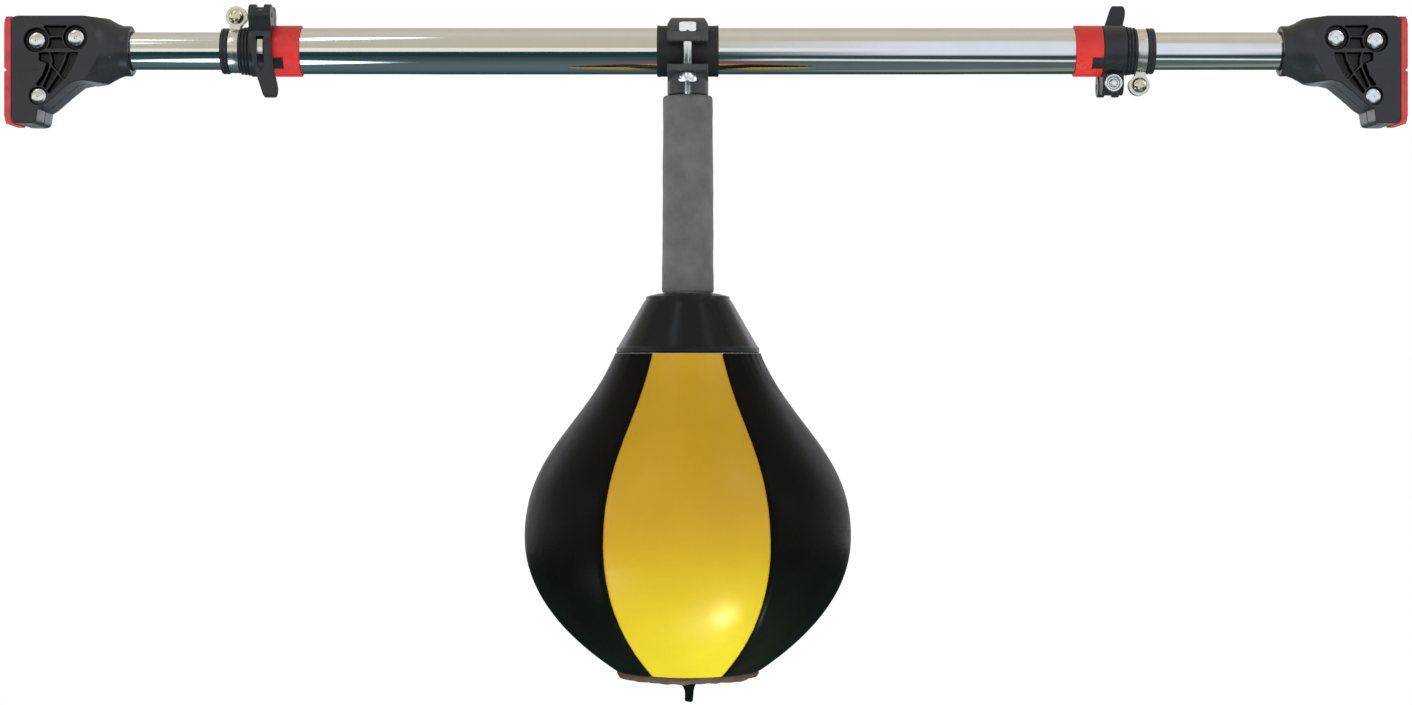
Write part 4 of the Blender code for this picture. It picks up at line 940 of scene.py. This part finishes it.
def build_locks(looks):
    middle_x = STRAP_START + STRAP_WIDTH / 2 + 0.0008
    strap_mesh, screw_mesh, lever_mesh, strip_mesh = strap(), strap_screw(), cam_lever(), lever_strip()
    strap_nut = hex_nut(0.0045, 0.0023, 0.0037, 0.0069)
    strap_nut.transform(axis_turn("Y"))
    pin = shaped(cylinder(0.0015, -LEVER_HALF_WIDTH + 0.0004, LEVER_HALF_WIDTH - 0.0004, "X", ease=0.0003))
    for side, where, lever_where, toward in (("left", AT_LEFT_COLLAR, AT_LEFT_LEVER, 1.0),
                                             ("right", AT_RIGHT_COLLAR, AT_RIGHT_LEVER, -1.0)):
        body = f"{side}_collar"
        at_screw = where @ Matrix.Translation((middle_x, 0.0, CLAMP_SCREW_Z))
        at_bolt = where @ Matrix.Translation((LEVER_PIVOT[0], 0.0, LEVER_PIVOT[2]))
        place(f"{side}_lock_collar_look", lock_collar(side), where, looks["collar_plastic"], body,
              "collar_plastic",
              f"{side}_lock_collar", sharp=70.0)
        place(f"{side}_strap_look", strap_mesh, where, looks["strap_steel"], body, "strap_steel",
              f"{side}_strap")
        place(f"{side}_strap_screw_look", screw_mesh, at_screw, looks["plated_screw"], body, "plated_screw",
              f"{side}_strap_screw")
        place(f"{side}_strap_nut_look", strap_nut, at_screw, looks["steel"], body, "steel",
              f"{side}_strap_nut")
        place(f"{side}_lever_bolt_look", lever_bolt(toward), at_bolt, looks["bright_steel"], body, "steel",
              f"{side}_lever_bolt")
        place(f"{side}_lever_nut_look", round_nut(toward), at_bolt, looks["bright_steel"], body, "steel",
              f"{side}_lever_nut")
        place(f"{side}_lever_pin_look", pin, lever_where, looks["steel"], body, "steel", f"{side}_lever_pin")
        lever_body = f"{side}_cam_lever"
        place(f"{side}_lever_look", lever_mesh, lever_where, looks["collar_plastic"], lever_body,
              "collar_plastic",
              f"{side}_lever", sharp=70.0)
        place(f"{side}_lever_strip", strip_mesh, lever_where, looks["bright_steel"], lever_body, "steel")


# ---- centre clamp ----
def clamp_half_outline(top):
    """The clamp's side view, in the YZ plane, of the cap or of the saddle, before the bore is cut."""
    low, high = PLATE_TOP if top else PLATE_BOTTOM
    inner = low if top else high
    outer = high if top else low
    crown = CLAMP_TOP if top else -CLAMP_BORE - 0.0030
    start, end = (26.0, 154.0) if top else (-52.0, -128.0)
    points = [(-CLAMP_HALF_DEPTH, inner), (-CLAMP_HALF_DEPTH, outer)]
    points.extend(reversed(arc((0.0, 0.0), abs(crown), start, end, 32)))
    points.extend([(CLAMP_HALF_DEPTH, outer), (CLAMP_HALF_DEPTH, inner)])
    return points


def bolt_holes():
    holes = []
    for y in (-BOLT_Y, BOLT_Y):
        holes.append(cylinder(BOLT_RADIUS + GAP, -0.05, 0.05, place=(0.0, y, 0.0)))
    return merged(*holes)


def clamp_bolt():
    """A hexagon-headed bolt about the Z axis, with a thread on its end."""
    under = PLATE_TOP[1] + GAP
    shank = [(0.0, BOLT_END), (BOLT_RADIUS - 0.0006, BOLT_END)]
    shank.extend(threaded(BOLT_RADIUS, BOLT_END + 0.0006, PLATE_BOTTOM[0] + 0.001, pitch=0.0010))
    shank.extend([(BOLT_RADIUS, PLATE_BOTTOM[0] + 0.0016), (BOLT_RADIUS, under + 0.001),
                  (0.0, under + 0.001)])
    head = hex_nut(HEAD_RADIUS, 0.0001, under, under + HEAD_HEIGHT)
    whole = bmesh.new()
    whole.from_mesh(head)
    return shaped(whole, ("UNION", turned(shank, sides=FINE)))


def build_clamp(looks):
    half = LINER_LENGTH / 2
    liner = [(TUBE_RADIUS + GAP, -half), (LINER_RADIUS - 0.0004, -half), (LINER_RADIUS, -half + 0.0012),
             (LINER_RADIUS - 0.0003, -half + 0.0024), (LINER_RADIUS - 0.0003, half - 0.0024),
             (LINER_RADIUS, half - 0.0012), (LINER_RADIUS - 0.0004, half), (TUBE_RADIUS + GAP, half)]
    place("clamp_liner_look", turned(rounded(liner, 0.0004), "X"), AT_CENTRE, looks["liner_rubber"],
          "centre_bar",
          "liner_rubber", "clamp_liner")

    pockets = []
    for y in (-BOLT_Y, BOLT_Y):
        pockets.append(cylinder(HEAD_POCKET_RADIUS, PLATE_TOP[1], 0.03, place=(0.0, y, 0.0)))
    wide, high = CLAMP_HALF_WIDTH, CLAMP_TOP + 0.0002
    shoulders = [(-wide, 0.0), (wide, 0.0), (wide, high - 0.0065), (wide - 0.0028, high),
                 (0.0028 - wide, high),
                 (-wide, high - 0.0065)]
    cap = shaped(prism(clamp_half_outline(True), -wide, wide, "YZ"), clamp_bore(),
                 ("INTERSECT", prism(shoulders, -0.04, 0.04)),
                 ("DIFFERENCE", bolt_holes()), ("DIFFERENCE", merged(*pockets)), voxel=CLAMP_VOXEL, rounds=3,
                 keep=0.4)
    place("clamp_cap_look", cap, AT_CENTRE, looks["clamp_plastic"], "centre_bar", "clamp_plastic",
          "clamp_cap",
          sharp=70.0)

    neck = [(0.0, HANGER_NECK_END), (HANGER_NECK_RADIUS - 0.0006, HANGER_NECK_END),
            (HANGER_NECK_RADIUS, HANGER_NECK_END + 0.0006), (HANGER_NECK_RADIUS, -0.0160), (0.0, -0.0160)]
    saddle = shaped(prism(clamp_half_outline(False), -CLAMP_HALF_WIDTH, CLAMP_HALF_WIDTH, "YZ"),
                    ("UNION", turned(neck)), clamp_bore(), ("DIFFERENCE", bolt_holes()),
                    ("DIFFERENCE", cylinder(SCREW_RADIUS + GAP, -0.04, -0.0220)), voxel=CLAMP_VOXEL, rounds=3,
                    keep=0.4)
    place("clamp_saddle_look", saddle, AT_CENTRE, looks["clamp_plastic"], "centre_bar", "clamp_plastic",
          "clamp_saddle", sharp=70.0)

    seat = PLATE_BOTTOM[0] - GAP
    bolt_mesh = clamp_bolt()
    nut_mesh = hex_nut(NUT_RADIUS, BOLT_RADIUS + GAP / 2, seat - NUT_HEIGHT, seat, flare=0.0034)
    for side, y in (("front", -BOLT_Y), ("rear", BOLT_Y)):
        where = AT_CENTRE @ Matrix.Translation((0.0, y, 0.0))
        place(f"{side}_clamp_bolt_look", bolt_mesh, where, looks["bright_steel"], "centre_bar",
              "bright_steel",
              f"{side}_clamp_bolt")
        place(f"{side}_clamp_nut_look", nut_mesh, where, looks["bright_steel"], "centre_bar", "bright_steel",
              f"{side}_clamp_nut")


def clamp_bore():
    """The step that bores the clamp for the tube. Each step uses its shape up, so each half needs its own."""
    return ("DIFFERENCE", cylinder(CLAMP_BORE, -0.05, 0.05, "X", sides=SIDES))


# ---- spring and sleeve ----
def sleeve_radius(angle, z):
    """The foam's outside: a little uneven, and drawn in at its two ends."""
    spot = Vector((math.cos(angle) * 1.2, math.sin(angle) * 1.2, z * 45.0))
    uneven = 0.00030 * noise.noise(spot) + 0.00012 * noise.noise(spot * 3.1)
    edge = min(SLEEVE_TOP - z, z - SLEEVE_BOTTOM)
    draw = max(0.0, 1.0 - edge / 0.0020)
    slim = 0.0007 * (z - SLEEVE_BOTTOM) / (SLEEVE_TOP - SLEEVE_BOTTOM)
    return SLEEVE_RADIUS - slim + uneven - 0.0008 * draw * draw


def sleeve_half(low, high):
    """A length of the foam tube as a closed mesh, in the row frame."""
    inner = SPRING_RADIUS + SPRING_WIRE + GAP
    rows = []
    count = 72
    for i in range(count + 1):
        share = i / count
        share = 0.5 - 0.5 * math.cos(math.pi * share)
        rows.append(low + (high - low) * share)
    shape = bmesh.new()
    loops = []
    sides = 128
    for z in rows:
        loop = []
        for j in range(sides):
            angle = math.tau * j / sides
            reach = sleeve_radius(angle, z)
            loop.append(shape.verts.new((CENTRE_X + reach * math.cos(angle), reach * math.sin(angle), z)))
        loops.append(loop)
    for z in reversed(rows[::6]):
        loop = []
        for j in range(sides):
            angle = math.tau * j / sides
            loop.append(shape.verts.new((CENTRE_X + inner * math.cos(angle), inner * math.sin(angle), z)))
        loops.append(loop)
    return join_rings(shape, loops, closed=True)


def coil_half(low, high):
    """The turns of the spring between two heights."""
    per_turn = 32
    total = (SPRING_TOP - SPRING_BOTTOM) / SPRING_PITCH
    path = []
    for i in range(int(total * per_turn) + 1):
        z = SPRING_TOP - SPRING_PITCH * i / per_turn
        if low <= z <= high:
            angle = math.tau * i / per_turn
            path.append(Vector((CENTRE_X + SPRING_RADIUS * math.cos(angle), SPRING_RADIUS * math.sin(angle),
                                z)))
    return swept(path, SPRING_WIRE, sides=10)


def build_spring(looks):
    halves = (("upper", SPLIT_Z, SLEEVE_TOP, "centre_bar", "spring_mid", UPPER_BEND),
              ("lower", SLEEVE_BOTTOM, SPLIT_Z, "spring_mid", "ball", LOWER_BEND))
    for half_name, low, high, above, below, (start, end) in halves:
        sleeve = place(f"foam_sleeve_{half_name}", sleeve_half(low, high), Matrix(), looks["grey_foam"], None,
                       "grey_foam", "foam_sleeve", sharp=60.0)
        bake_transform(sleeve)
        coil = place(f"spring_{half_name}", coil_half(low + 0.0001, high), Matrix(), looks["spring_steel"],
                     None,
                     "spring_steel", "spring")
        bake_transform(coil)


# ---- ball ----
def ball_profile(inset=0.0, steps=40):
    """The ball's (radius, height) curve from the cap down to the bottom patch, moved inwards by inset."""
    neck = (0.0500, BALL_TOP)
    foot = (0.0498, BALL_BOTTOM)
    waist = (BALL_RADIUS, BALL_WAIST_Z)
    upper = bezier(neck, (0.0721, BALL_TOP - 0.0516), (BALL_RADIUS, BALL_WAIST_Z + 0.0554), waist, steps)
    lower = bezier(waist, (BALL_RADIUS, BALL_WAIST_Z - 0.0390), (0.0854, BALL_BOTTOM + 0.0242), foot, steps)
    points = upper + lower[1:]
    moved = []
    for i, (radius, height) in enumerate(points):
        before = points[max(i - 1, 0)]
        after = points[min(i + 1, len(points) - 1)]
        along = Vector((after[0] - before[0], after[1] - before[1])).normalized()
        moved.append((radius + along.y * inset, height - along.x * inset))
    return moved


def panel_swell(radius, across, height, seed):
    """How far a panel's outside stands proud of the profile: rolled edges, puckers and soft dents."""
    half_width = radius * math.pi / PANEL_COUNT
    edge = half_width * (1.0 - abs(across))
    roll = 0.0021 * max(0.0, 1.0 - edge / 0.0032) ** 2
    crown = 0.0007 * (1.0 - across * across)
    side = 1.0 if across > 0 else -1.0
    pucker_at = Vector((height * 150.0, side * 3.0, seed * 7.0))
    pucker = 0.00028 * noise.noise(pucker_at) * math.exp(-edge / 0.0055)
    ends = min(BALL_TOP - height, height - BALL_BOTTOM)
    gather = 0.00075 * math.exp(-max(ends,
                                     0.0) / 0.0085) * noise.noise(Vector((across * 6.5, seed * 5.0, 1.0)))
    dent = 0.00055 * noise.noise(Vector((across * 0.9, height * 17.0, seed * 3.0)))
    return crown + pucker + gather + dent - roll


def panel_mesh(index):
    """One leather gore, wrapped as a closed shell."""
    outer = ball_profile()
    inner = ball_profile(PANEL_THICKNESS)
    width = math.tau / PANEL_COUNT
    middle = -math.pi / 2 + index * width
    columns = []
    count = 44
    for j in range(count + 1):
        share = 2.0 * j / count - 1.0
        columns.append(math.copysign(1.0 - (1.0 - abs(share)) ** 1.6, share))
    shape = bmesh.new()
    layers = []
    for profile, is_outer in ((outer, True), (inner, False)):
        grid = []
        for radius, height in profile:
            row = []
            for across in columns:
                slack = 0.00035 / max(radius, 0.01)
                angle = middle + across * (width / 2 - slack)
                swell = panel_swell(radius, across, height, index) if is_outer else 0.0
                reach = radius + swell
                row.append(shape.verts.new((CENTRE_X + reach * math.cos(angle), reach * math.sin(angle),
                                            height)))
            grid.append(row)
        layers.append(grid)
    rows = len(outer)
    for grid in layers:
        for r in range(rows - 1):
            for c in range(count):
                shape.faces.new((grid[r][c], grid[r][c + 1], grid[r + 1][c + 1], grid[r + 1][c]))
    top, under = layers
    for r in range(rows - 1):
        for c in (0, count):
            shape.faces.new((top[r][c], top[r + 1][c], under[r + 1][c], under[r][c]))
    for c in range(count):
        for r in (0, rows - 1):
            shape.faces.new((top[r][c], top[r][c + 1], under[r][c + 1], under[r][c]))
    return shape


def welt_mesh(index):
    """The thin turned-in edge that shows as a dark line between two gores."""
    angle = -math.pi / 2 + (index + 0.5) * math.tau / PANEL_COUNT
    path = []
    for radius, height in ball_profile(0.0017)[1:-1]:
        path.append(Vector((CENTRE_X + radius * math.cos(angle), radius * math.sin(angle), height)))
    return swept(path, 0.00075, sides=8)


def neck_cap():
    floor = BALL_TOP + 0.0001
    outline = [(0.0062, floor), (CAP_RIM_RADIUS - 0.0004, floor), (CAP_RIM_RADIUS, floor + 0.0006),
               (CAP_RIM_RADIUS, CAP_RIM_Z + 0.0022), (CAP_RIM_RADIUS - 0.0012, CAP_RIM_Z + 0.0030),
               (CAP_TOP_RADIUS + 0.0012, CAP_TOP - 0.0056), (CAP_TOP_RADIUS, CAP_TOP - 0.0044),
               (CAP_TOP_RADIUS, CAP_TOP - 0.0028), (CAP_TOP_RADIUS - 0.0006, CAP_TOP - 0.0021),
               (0.0200, CAP_TOP),
               (0.0190, CAP_TOP - 0.0020), (0.0062, CAP_TOP - 0.0020)]
    return turned(rounded(outline, 0.0006), sides=128)


def bottom_patch():
    """The leather disc that closes the gores, gathered towards the lace hole."""
    top = BALL_BOTTOM - GAP
    shape = bmesh.new()
    sides = 144
    stations = ((0.0030, -0.0066), (0.0060, -0.0066), (0.0120, -0.0062), (0.0200, -0.0062), (0.0290, -0.0060),
                (0.0380, -0.0057), (0.0440, -0.0052), (0.0474, -0.0042), (0.0490, -0.0018), (0.0488, 0.0),
                (0.0300, 0.0), (0.0030, 0.0))
    loops = []
    for k, (radius, drop) in enumerate(stations):
        loop = []
        for j in range(sides):
            angle = math.tau * j / sides
            fold = 0.0
            if 0 < k < 9:
                spot = Vector((math.cos(angle) * 2.6, math.sin(angle) * 2.6, radius * 20.0))
                fold = 0.0016 * noise.noise(spot) + 0.0003 * math.sin(angle * 24.0)
            edge_spot = Vector((math.cos(angle) * 3.0, math.sin(angle) * 3.0, 2.0))
            reach = radius * (1.0 + 0.012 * noise.noise(edge_spot))
            loop.append(shape.verts.new((reach * math.cos(angle), reach * math.sin(angle),
                                         top + drop + fold)))
        loops.append(loop)
    return join_rings(shape, loops, closed=True)


def tie_knot():
    """The gathered lace end under the ball."""
    base = BALL_BOTTOM - 0.0066
    path, reach = [], []
    stations = ((0.0, 0.0088), (0.0010, 0.0086), (0.0025, 0.0066), (0.0042, 0.0048), (0.0062, 0.0038),
                (0.0084, 0.0032), (0.0105, 0.0030), (0.0130, 0.0029), (0.0150, 0.0029), (0.0158, 0.0026),
                (0.0162, 0.0018))
    for drop, radius in stations:
        sway = 0.0009 * math.sin(drop * 160.0)
        path.append(Vector((sway, 0.0, base - drop)))
        reach.append(radius)
    shape = swept(path, reach, sides=36)
    for vert in shape.verts:
        angle = math.atan2(vert.co.y, vert.co.x)
        pleat = 1.0 + 0.10 * math.cos(angle * 6.0) * max(0.0, 1.0 - (base - vert.co.z) / 0.009)
        vert.co.x *= pleat
        vert.co.y *= pleat
        vert.co.z = max(vert.co.z, TAIL_END)
    return shape


def build_ball(looks):
    number = {"yellow": 0, "black": 0}
    for i in range(PANEL_COUNT):
        colour = "black" if i % 2 else "yellow"
        number[colour] += 1
        panel = place(f"{colour}_gore_{number[colour]}", panel_mesh(i), Matrix(), looks[f"{colour}_leather"],
                      "ball", f"{colour}_leather", f"{colour}_panel_{number[colour]}", sharp=75.0)
        place(f"seam_welt_{i + 1}", welt_mesh(i), Matrix(), looks["black_leather"], "ball", "black_leather")
    place("neck_cap_look", neck_cap(), AT_CENTRE, looks["cap_plastic"], "ball", "cap_plastic", "neck_cap",
          sharp=50.0)
    place("bottom_patch_look", bottom_patch(), AT_CENTRE, looks["patch_leather"], "ball", "black_leather",
          "bottom_patch", sharp=60.0)
    place("tie_knot_look", tie_knot(), AT_CENTRE, looks["black_leather"], "ball", "black_leather", "tie_knot",
          sharp=60.0)


# ---- CAD nodes that stay, with better surfaces ----
def dress_kept_nodes(looks):
    kept = {
        "drive_screw": "steel", "screw_anchor": "bush_plastic", "left_mouth_bush": "bush_plastic",
        "right_mouth_bush": "bush_plastic", "left_drive_nut": "brass", "right_drive_nut": "brass",
        "spring_hanger": "steel", "ball_stud": "steel", "bladder": "bladder_rubber",
    }
    for name, look in kept.items():
        mesh_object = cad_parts[name]
        if not mesh_object.material_slots:
            mesh_object.data.materials.append(looks[look])
        for place_slot in mesh_object.material_slots:
            place_slot.material = looks[look]


# ---- studio ----
FLOOR_Z = -1.6
FLOOR_GLOW = 0.46            # brings the floor up to the white of the backdrop
WORLD_OVERHEAD = 0.42        # the sky's brightness straight up; it is 1 at the horizon


def plain_surface(name, colour, roughness):
    """A matt studio surface with a faint unevenness."""
    return material(name, colour, roughness, blotch=3.0, tint=0.02, spread=0.03, grain=60.0, depth=0.0002)


def plane_object(name, size_x, size_y, where, look):
    shape = bmesh.new()
    bmesh.ops.create_grid(shape, x_segments=1, y_segments=1, size=0.5)
    bmesh.ops.scale(shape, vec=(size_x, size_y, 1.0), verts=shape.verts)
    mesh = bpy.data.meshes.new(name)
    shape.to_mesh(mesh)
    shape.free()
    mesh.materials.append(look)
    made = bpy.data.objects.new(name, mesh)
    made.matrix_world = where
    bpy.context.collection.objects.link(made)
    return made


def aimed(place_at, target):
    """A transform at a place whose -Z looks at the target."""
    direction = Vector(target) - Vector(place_at)
    return Matrix.Translation(place_at) @ direction.to_track_quat("-Z", "Y").to_matrix().to_4x4()


def only_reflected(card):
    """A studio card that shows in reflections and nowhere else."""
    card.visible_camera = False
    card.visible_diffuse = False
    card.visible_transmission = False
    card.visible_volume_scatter = False
    card.visible_shadow = False


def glowing(name, colour, strength):
    made = bpy.data.materials.new(name)
    made.use_nodes = True
    tree = made.node_tree
    tree.nodes.clear()
    out = tree.nodes.new("ShaderNodeOutputMaterial")
    glow = tree.nodes.new("ShaderNodeEmission")
    glow.inputs["Color"].default_value = (*colour, 1.0)
    glow.inputs["Strength"].default_value = strength
    tree.links.new(glow.outputs["Emission"], out.inputs["Surface"])
    return made


def tent_material():
    """The studio as bright metal reflects it: beige above, a white line at eye level and dark teal below."""
    made = glowing("studio_tent", (1.0, 1.0, 1.0), 1.0)
    tree = made.node_tree
    glow = next(item for item in tree.nodes if item.type == "EMISSION")
    where = tree.nodes.new("ShaderNodeTexCoord")
    unit = tree.nodes.new("ShaderNodeVectorMath")
    unit.operation = "NORMALIZE"
    split = tree.nodes.new("ShaderNodeSeparateXYZ")
    ramp = tree.nodes.new("ShaderNodeValToRGB")
    shift = tree.nodes.new("ShaderNodeMapRange")
    shift.inputs["From Min"].default_value = -1.0
    tree.links.new(where.outputs["Object"], unit.inputs[0])
    tree.links.new(unit.outputs["Vector"], split.inputs["Vector"])
    tree.links.new(split.outputs["Z"], shift.inputs["Value"])
    tree.links.new(shift.outputs["Result"], ramp.inputs["Fac"])
    tree.links.new(ramp.outputs["Color"], glow.inputs["Color"])
    stops = ((0.0, (0.10, 0.15, 0.17)), (0.12, (0.05, 0.09, 0.10)), (0.30, (0.010, 0.040, 0.045)),
             (0.422, (0.012, 0.045, 0.050)), (0.435, (0.85, 0.85, 0.83)), (0.565, (0.90, 0.89, 0.86)),
             (0.60, (0.52, 0.50, 0.42)), (0.95, (0.55, 0.52, 0.44)), (1.0, (0.62, 0.60, 0.53)))
    elements = ramp.color_ramp.elements
    for i, (position, colour) in enumerate(stops):
        element = elements[i] if i < 2 else elements.new(position)
        element.position = position
        element.color = (*colour, 1.0)
    return made


def build_tent():
    shape = bmesh.new()
    bmesh.ops.create_uvsphere(shape, u_segments=48, v_segments=24, radius=9.0)
    mesh = bpy.data.meshes.new("studio_tent")
    shape.to_mesh(mesh)
    shape.free()
    mesh.materials.append(tent_material())
    tent = bpy.data.objects.new("studio_tent", mesh)
    tent.location = (CENTRE_X, 0.0, 0.0)
    bpy.context.collection.objects.link(tent)
    only_reflected(tent)


def add_light(name, place_at, target, size, power, colour=(1.0, 1.0, 1.0)):
    """A disc light that isn't itself seen in reflections; the cards are."""
    data = bpy.data.lights.new(name, "AREA")
    data.shape = "DISK"
    data.size = size
    data.energy = power
    data.color = colour
    light = bpy.data.objects.new(name, data)
    light.matrix_world = aimed(place_at, target)
    light.visible_glossy = False
    bpy.context.collection.objects.link(light)


def build_studio():
    scene = bpy.context.scene
    scene.view_settings.view_transform = "Standard"
    world = bpy.data.worlds.new("studio_world")
    world.use_nodes = True
    tree = world.node_tree
    where = tree.nodes.new("ShaderNodeTexCoord")
    split = tree.nodes.new("ShaderNodeSeparateXYZ")
    fade = tree.nodes.new("ShaderNodeMapRange")
    fade.inputs["From Min"].default_value = 0.20
    fade.inputs["From Max"].default_value = 0.85
    fade.inputs["To Min"].default_value = 1.0
    fade.inputs["To Max"].default_value = WORLD_OVERHEAD
    tree.links.new(where.outputs["Generated"], split.inputs["Vector"])
    tree.links.new(split.outputs["Z"], fade.inputs["Value"])
    background = tree.nodes["Background"]
    background.inputs["Color"].default_value = (1.0, 1.0, 1.0, 1.0)
    tree.links.new(fade.outputs["Result"], background.inputs["Strength"])
    scene.world = world

    floor_look = plain_surface("pale_floor", (0.90, 0.90, 0.90), 0.9)
    shader = floor_look.node_tree.nodes["Principled BSDF"]
    shader.inputs["Emission Color"].default_value = (1.0, 1.0, 1.0, 1.0)
    shader.inputs["Emission Strength"].default_value = FLOOR_GLOW
    floor = plane_object("studio_floor", 60.0, 60.0, Matrix.Translation((CENTRE_X, 0.0, FLOOR_Z)), floor_look)
    floor.visible_glossy = False
    build_tent()

    add_cards()
    add_light("key_light", (0.1, -2.2, 1.3), (0.35, 0.0, -0.1), 0.9, 6.0)
    add_light("low_light", (0.60, -0.27, -1.25), (0.475, 0.0, -0.40), 0.34, 11.0, (0.48, 1.0, 0.80))


def soft_card(name, where, width, height, colour, strength, fade):
    """A glowing card with soft edges, seen in reflections only. Fade is the soft border's width."""
    look = glowing(f"{name}_glow", colour, strength)
    tree = look.node_tree
    out = next(item for item in tree.nodes if item.type == "OUTPUT_MATERIAL")
    glow = next(item for item in tree.nodes if item.type == "EMISSION")
    coordinates = tree.nodes.new("ShaderNodeTexCoord")
    split = tree.nodes.new("ShaderNodeSeparateXYZ")
    tree.links.new(coordinates.outputs["Object"], split.inputs["Vector"])
    both = tree.nodes.new("ShaderNodeMath")
    both.operation = "MULTIPLY"
    for i, (axis, size) in enumerate((("X", width), ("Y", height))):
        off_middle = tree.nodes.new("ShaderNodeMath")
        off_middle.operation = "ABSOLUTE"
        inside = tree.nodes.new("ShaderNodeMapRange")
        inside.inputs["From Min"].default_value = size / 2
        inside.inputs["From Max"].default_value = size / 2 - min(fade, size / 2)
        tree.links.new(split.outputs[axis], off_middle.inputs[0])
        tree.links.new(off_middle.outputs["Value"], inside.inputs["Value"])
        tree.links.new(inside.outputs["Result"], both.inputs[i])
    clear = tree.nodes.new("ShaderNodeBsdfTransparent")
    mix = tree.nodes.new("ShaderNodeMixShader")
    tree.links.new(both.outputs["Value"], mix.inputs["Fac"])
    tree.links.new(clear.outputs["BSDF"], mix.inputs[1])
    tree.links.new(glow.outputs["Emission"], mix.inputs[2])
    tree.links.new(mix.outputs["Shader"], out.inputs["Surface"])
    only_reflected(plane_object(name, width, height, where, look))


def add_cards():
    """The bright and coloured things that the metal, the plastic and the leather reflect."""
    bar = (CENTRE_X, 0.0, 0.0)
    ball = (CENTRE_X, 0.0, -0.35)
    blue_white = (0.80, 0.88, 1.0)
    soft_card("right_softbox", aimed((1.5, -2.96, 0.47), (0.8, 0.0, 0.0)), 2.2, 5.0, blue_white, 0.90, 0.8)
    soft_card("right_low_strip", aimed((1.3, -1.0, -1.5), (0.8, 0.0, 0.0)), 1.7, 0.42, (1.0, 1.0, 1.0),
              0.85, 0.12)
    soft_card("right_floor_card", aimed((1.3, 0.45, -1.5), (0.8, 0.0, 0.0)), 1.8, 0.60, (0.75, 0.75, 0.58),
              0.35, 0.15)
    soft_card("red_card", aimed((0.47, -0.60, -1.4), bar), 0.42, 0.60, (0.55, 0.08, 0.10), 0.60, 0.20)
    soft_card("left_strip", aimed((-1.0, -2.0, 2.4), ball), 0.40, 2.2, blue_white, 4.0, 0.10)
    soft_card("right_strip", aimed((2.7, -2.0, 2.4), ball), 0.50, 2.2, blue_white, 5.0, 0.10)
    soft_card("ball_highlight", aimed((0.5105, -0.1078, -0.4290), (0.497, -0.1, -0.39)), 0.020, 0.031,
              (1.0, 1.0, 1.0), 48.0, 0.007)
    soft_card("ball_left_sheen", aimed((-0.06, -0.31, -0.68), (0.39, -0.07, -0.385)), 0.30, 0.30,
              (0.65, 0.82, 1.0),
              7.0, 0.10)
    for side, toward in (("left", 1.0), ("right", -1.0)):
        far_x = CENTRE_X + toward * 2.4
        soft_card(f"{side}_nose_card", aimed((far_x, -0.7, 0.60), (CENTRE_X - toward * 0.40, 0.0, 0.0)),
                  1.0, 1.1,
                  (0.62, 0.74, 1.0), 2.6, 0.20)
        near_x = CENTRE_X - toward * 0.48
        soft_card(f"{side}_back_card", aimed((near_x, 0.50, -0.02), (near_x, 0.0, -0.02)), 0.50, 0.26,
                  (0.88, 0.88, 1.0), 1.5, 0.04)


def add_camera():
    data = bpy.data.cameras.new("photo_camera")
    data.sensor_width = CAMERA_SENSOR
    data.lens = CAMERA_LENS
    data.dof.use_dof = False
    camera = bpy.data.objects.new("photo_camera", data)
    camera.location = CAMERA_PLACE
    camera.rotation_euler = (math.pi / 2, 0.0, 0.0)
    bpy.context.collection.objects.link(camera)
    bpy.context.scene.camera = camera


def main():
    looks = make_materials()
    add_camera()
    build_tubes(looks)
    build_lock_rings(looks)
    build_feet(looks)
    build_locks(looks)
    build_clamp(looks)
    build_spring(looks)
    build_ball(looks)
    dress_kept_nodes(looks)
    build_studio()


main()
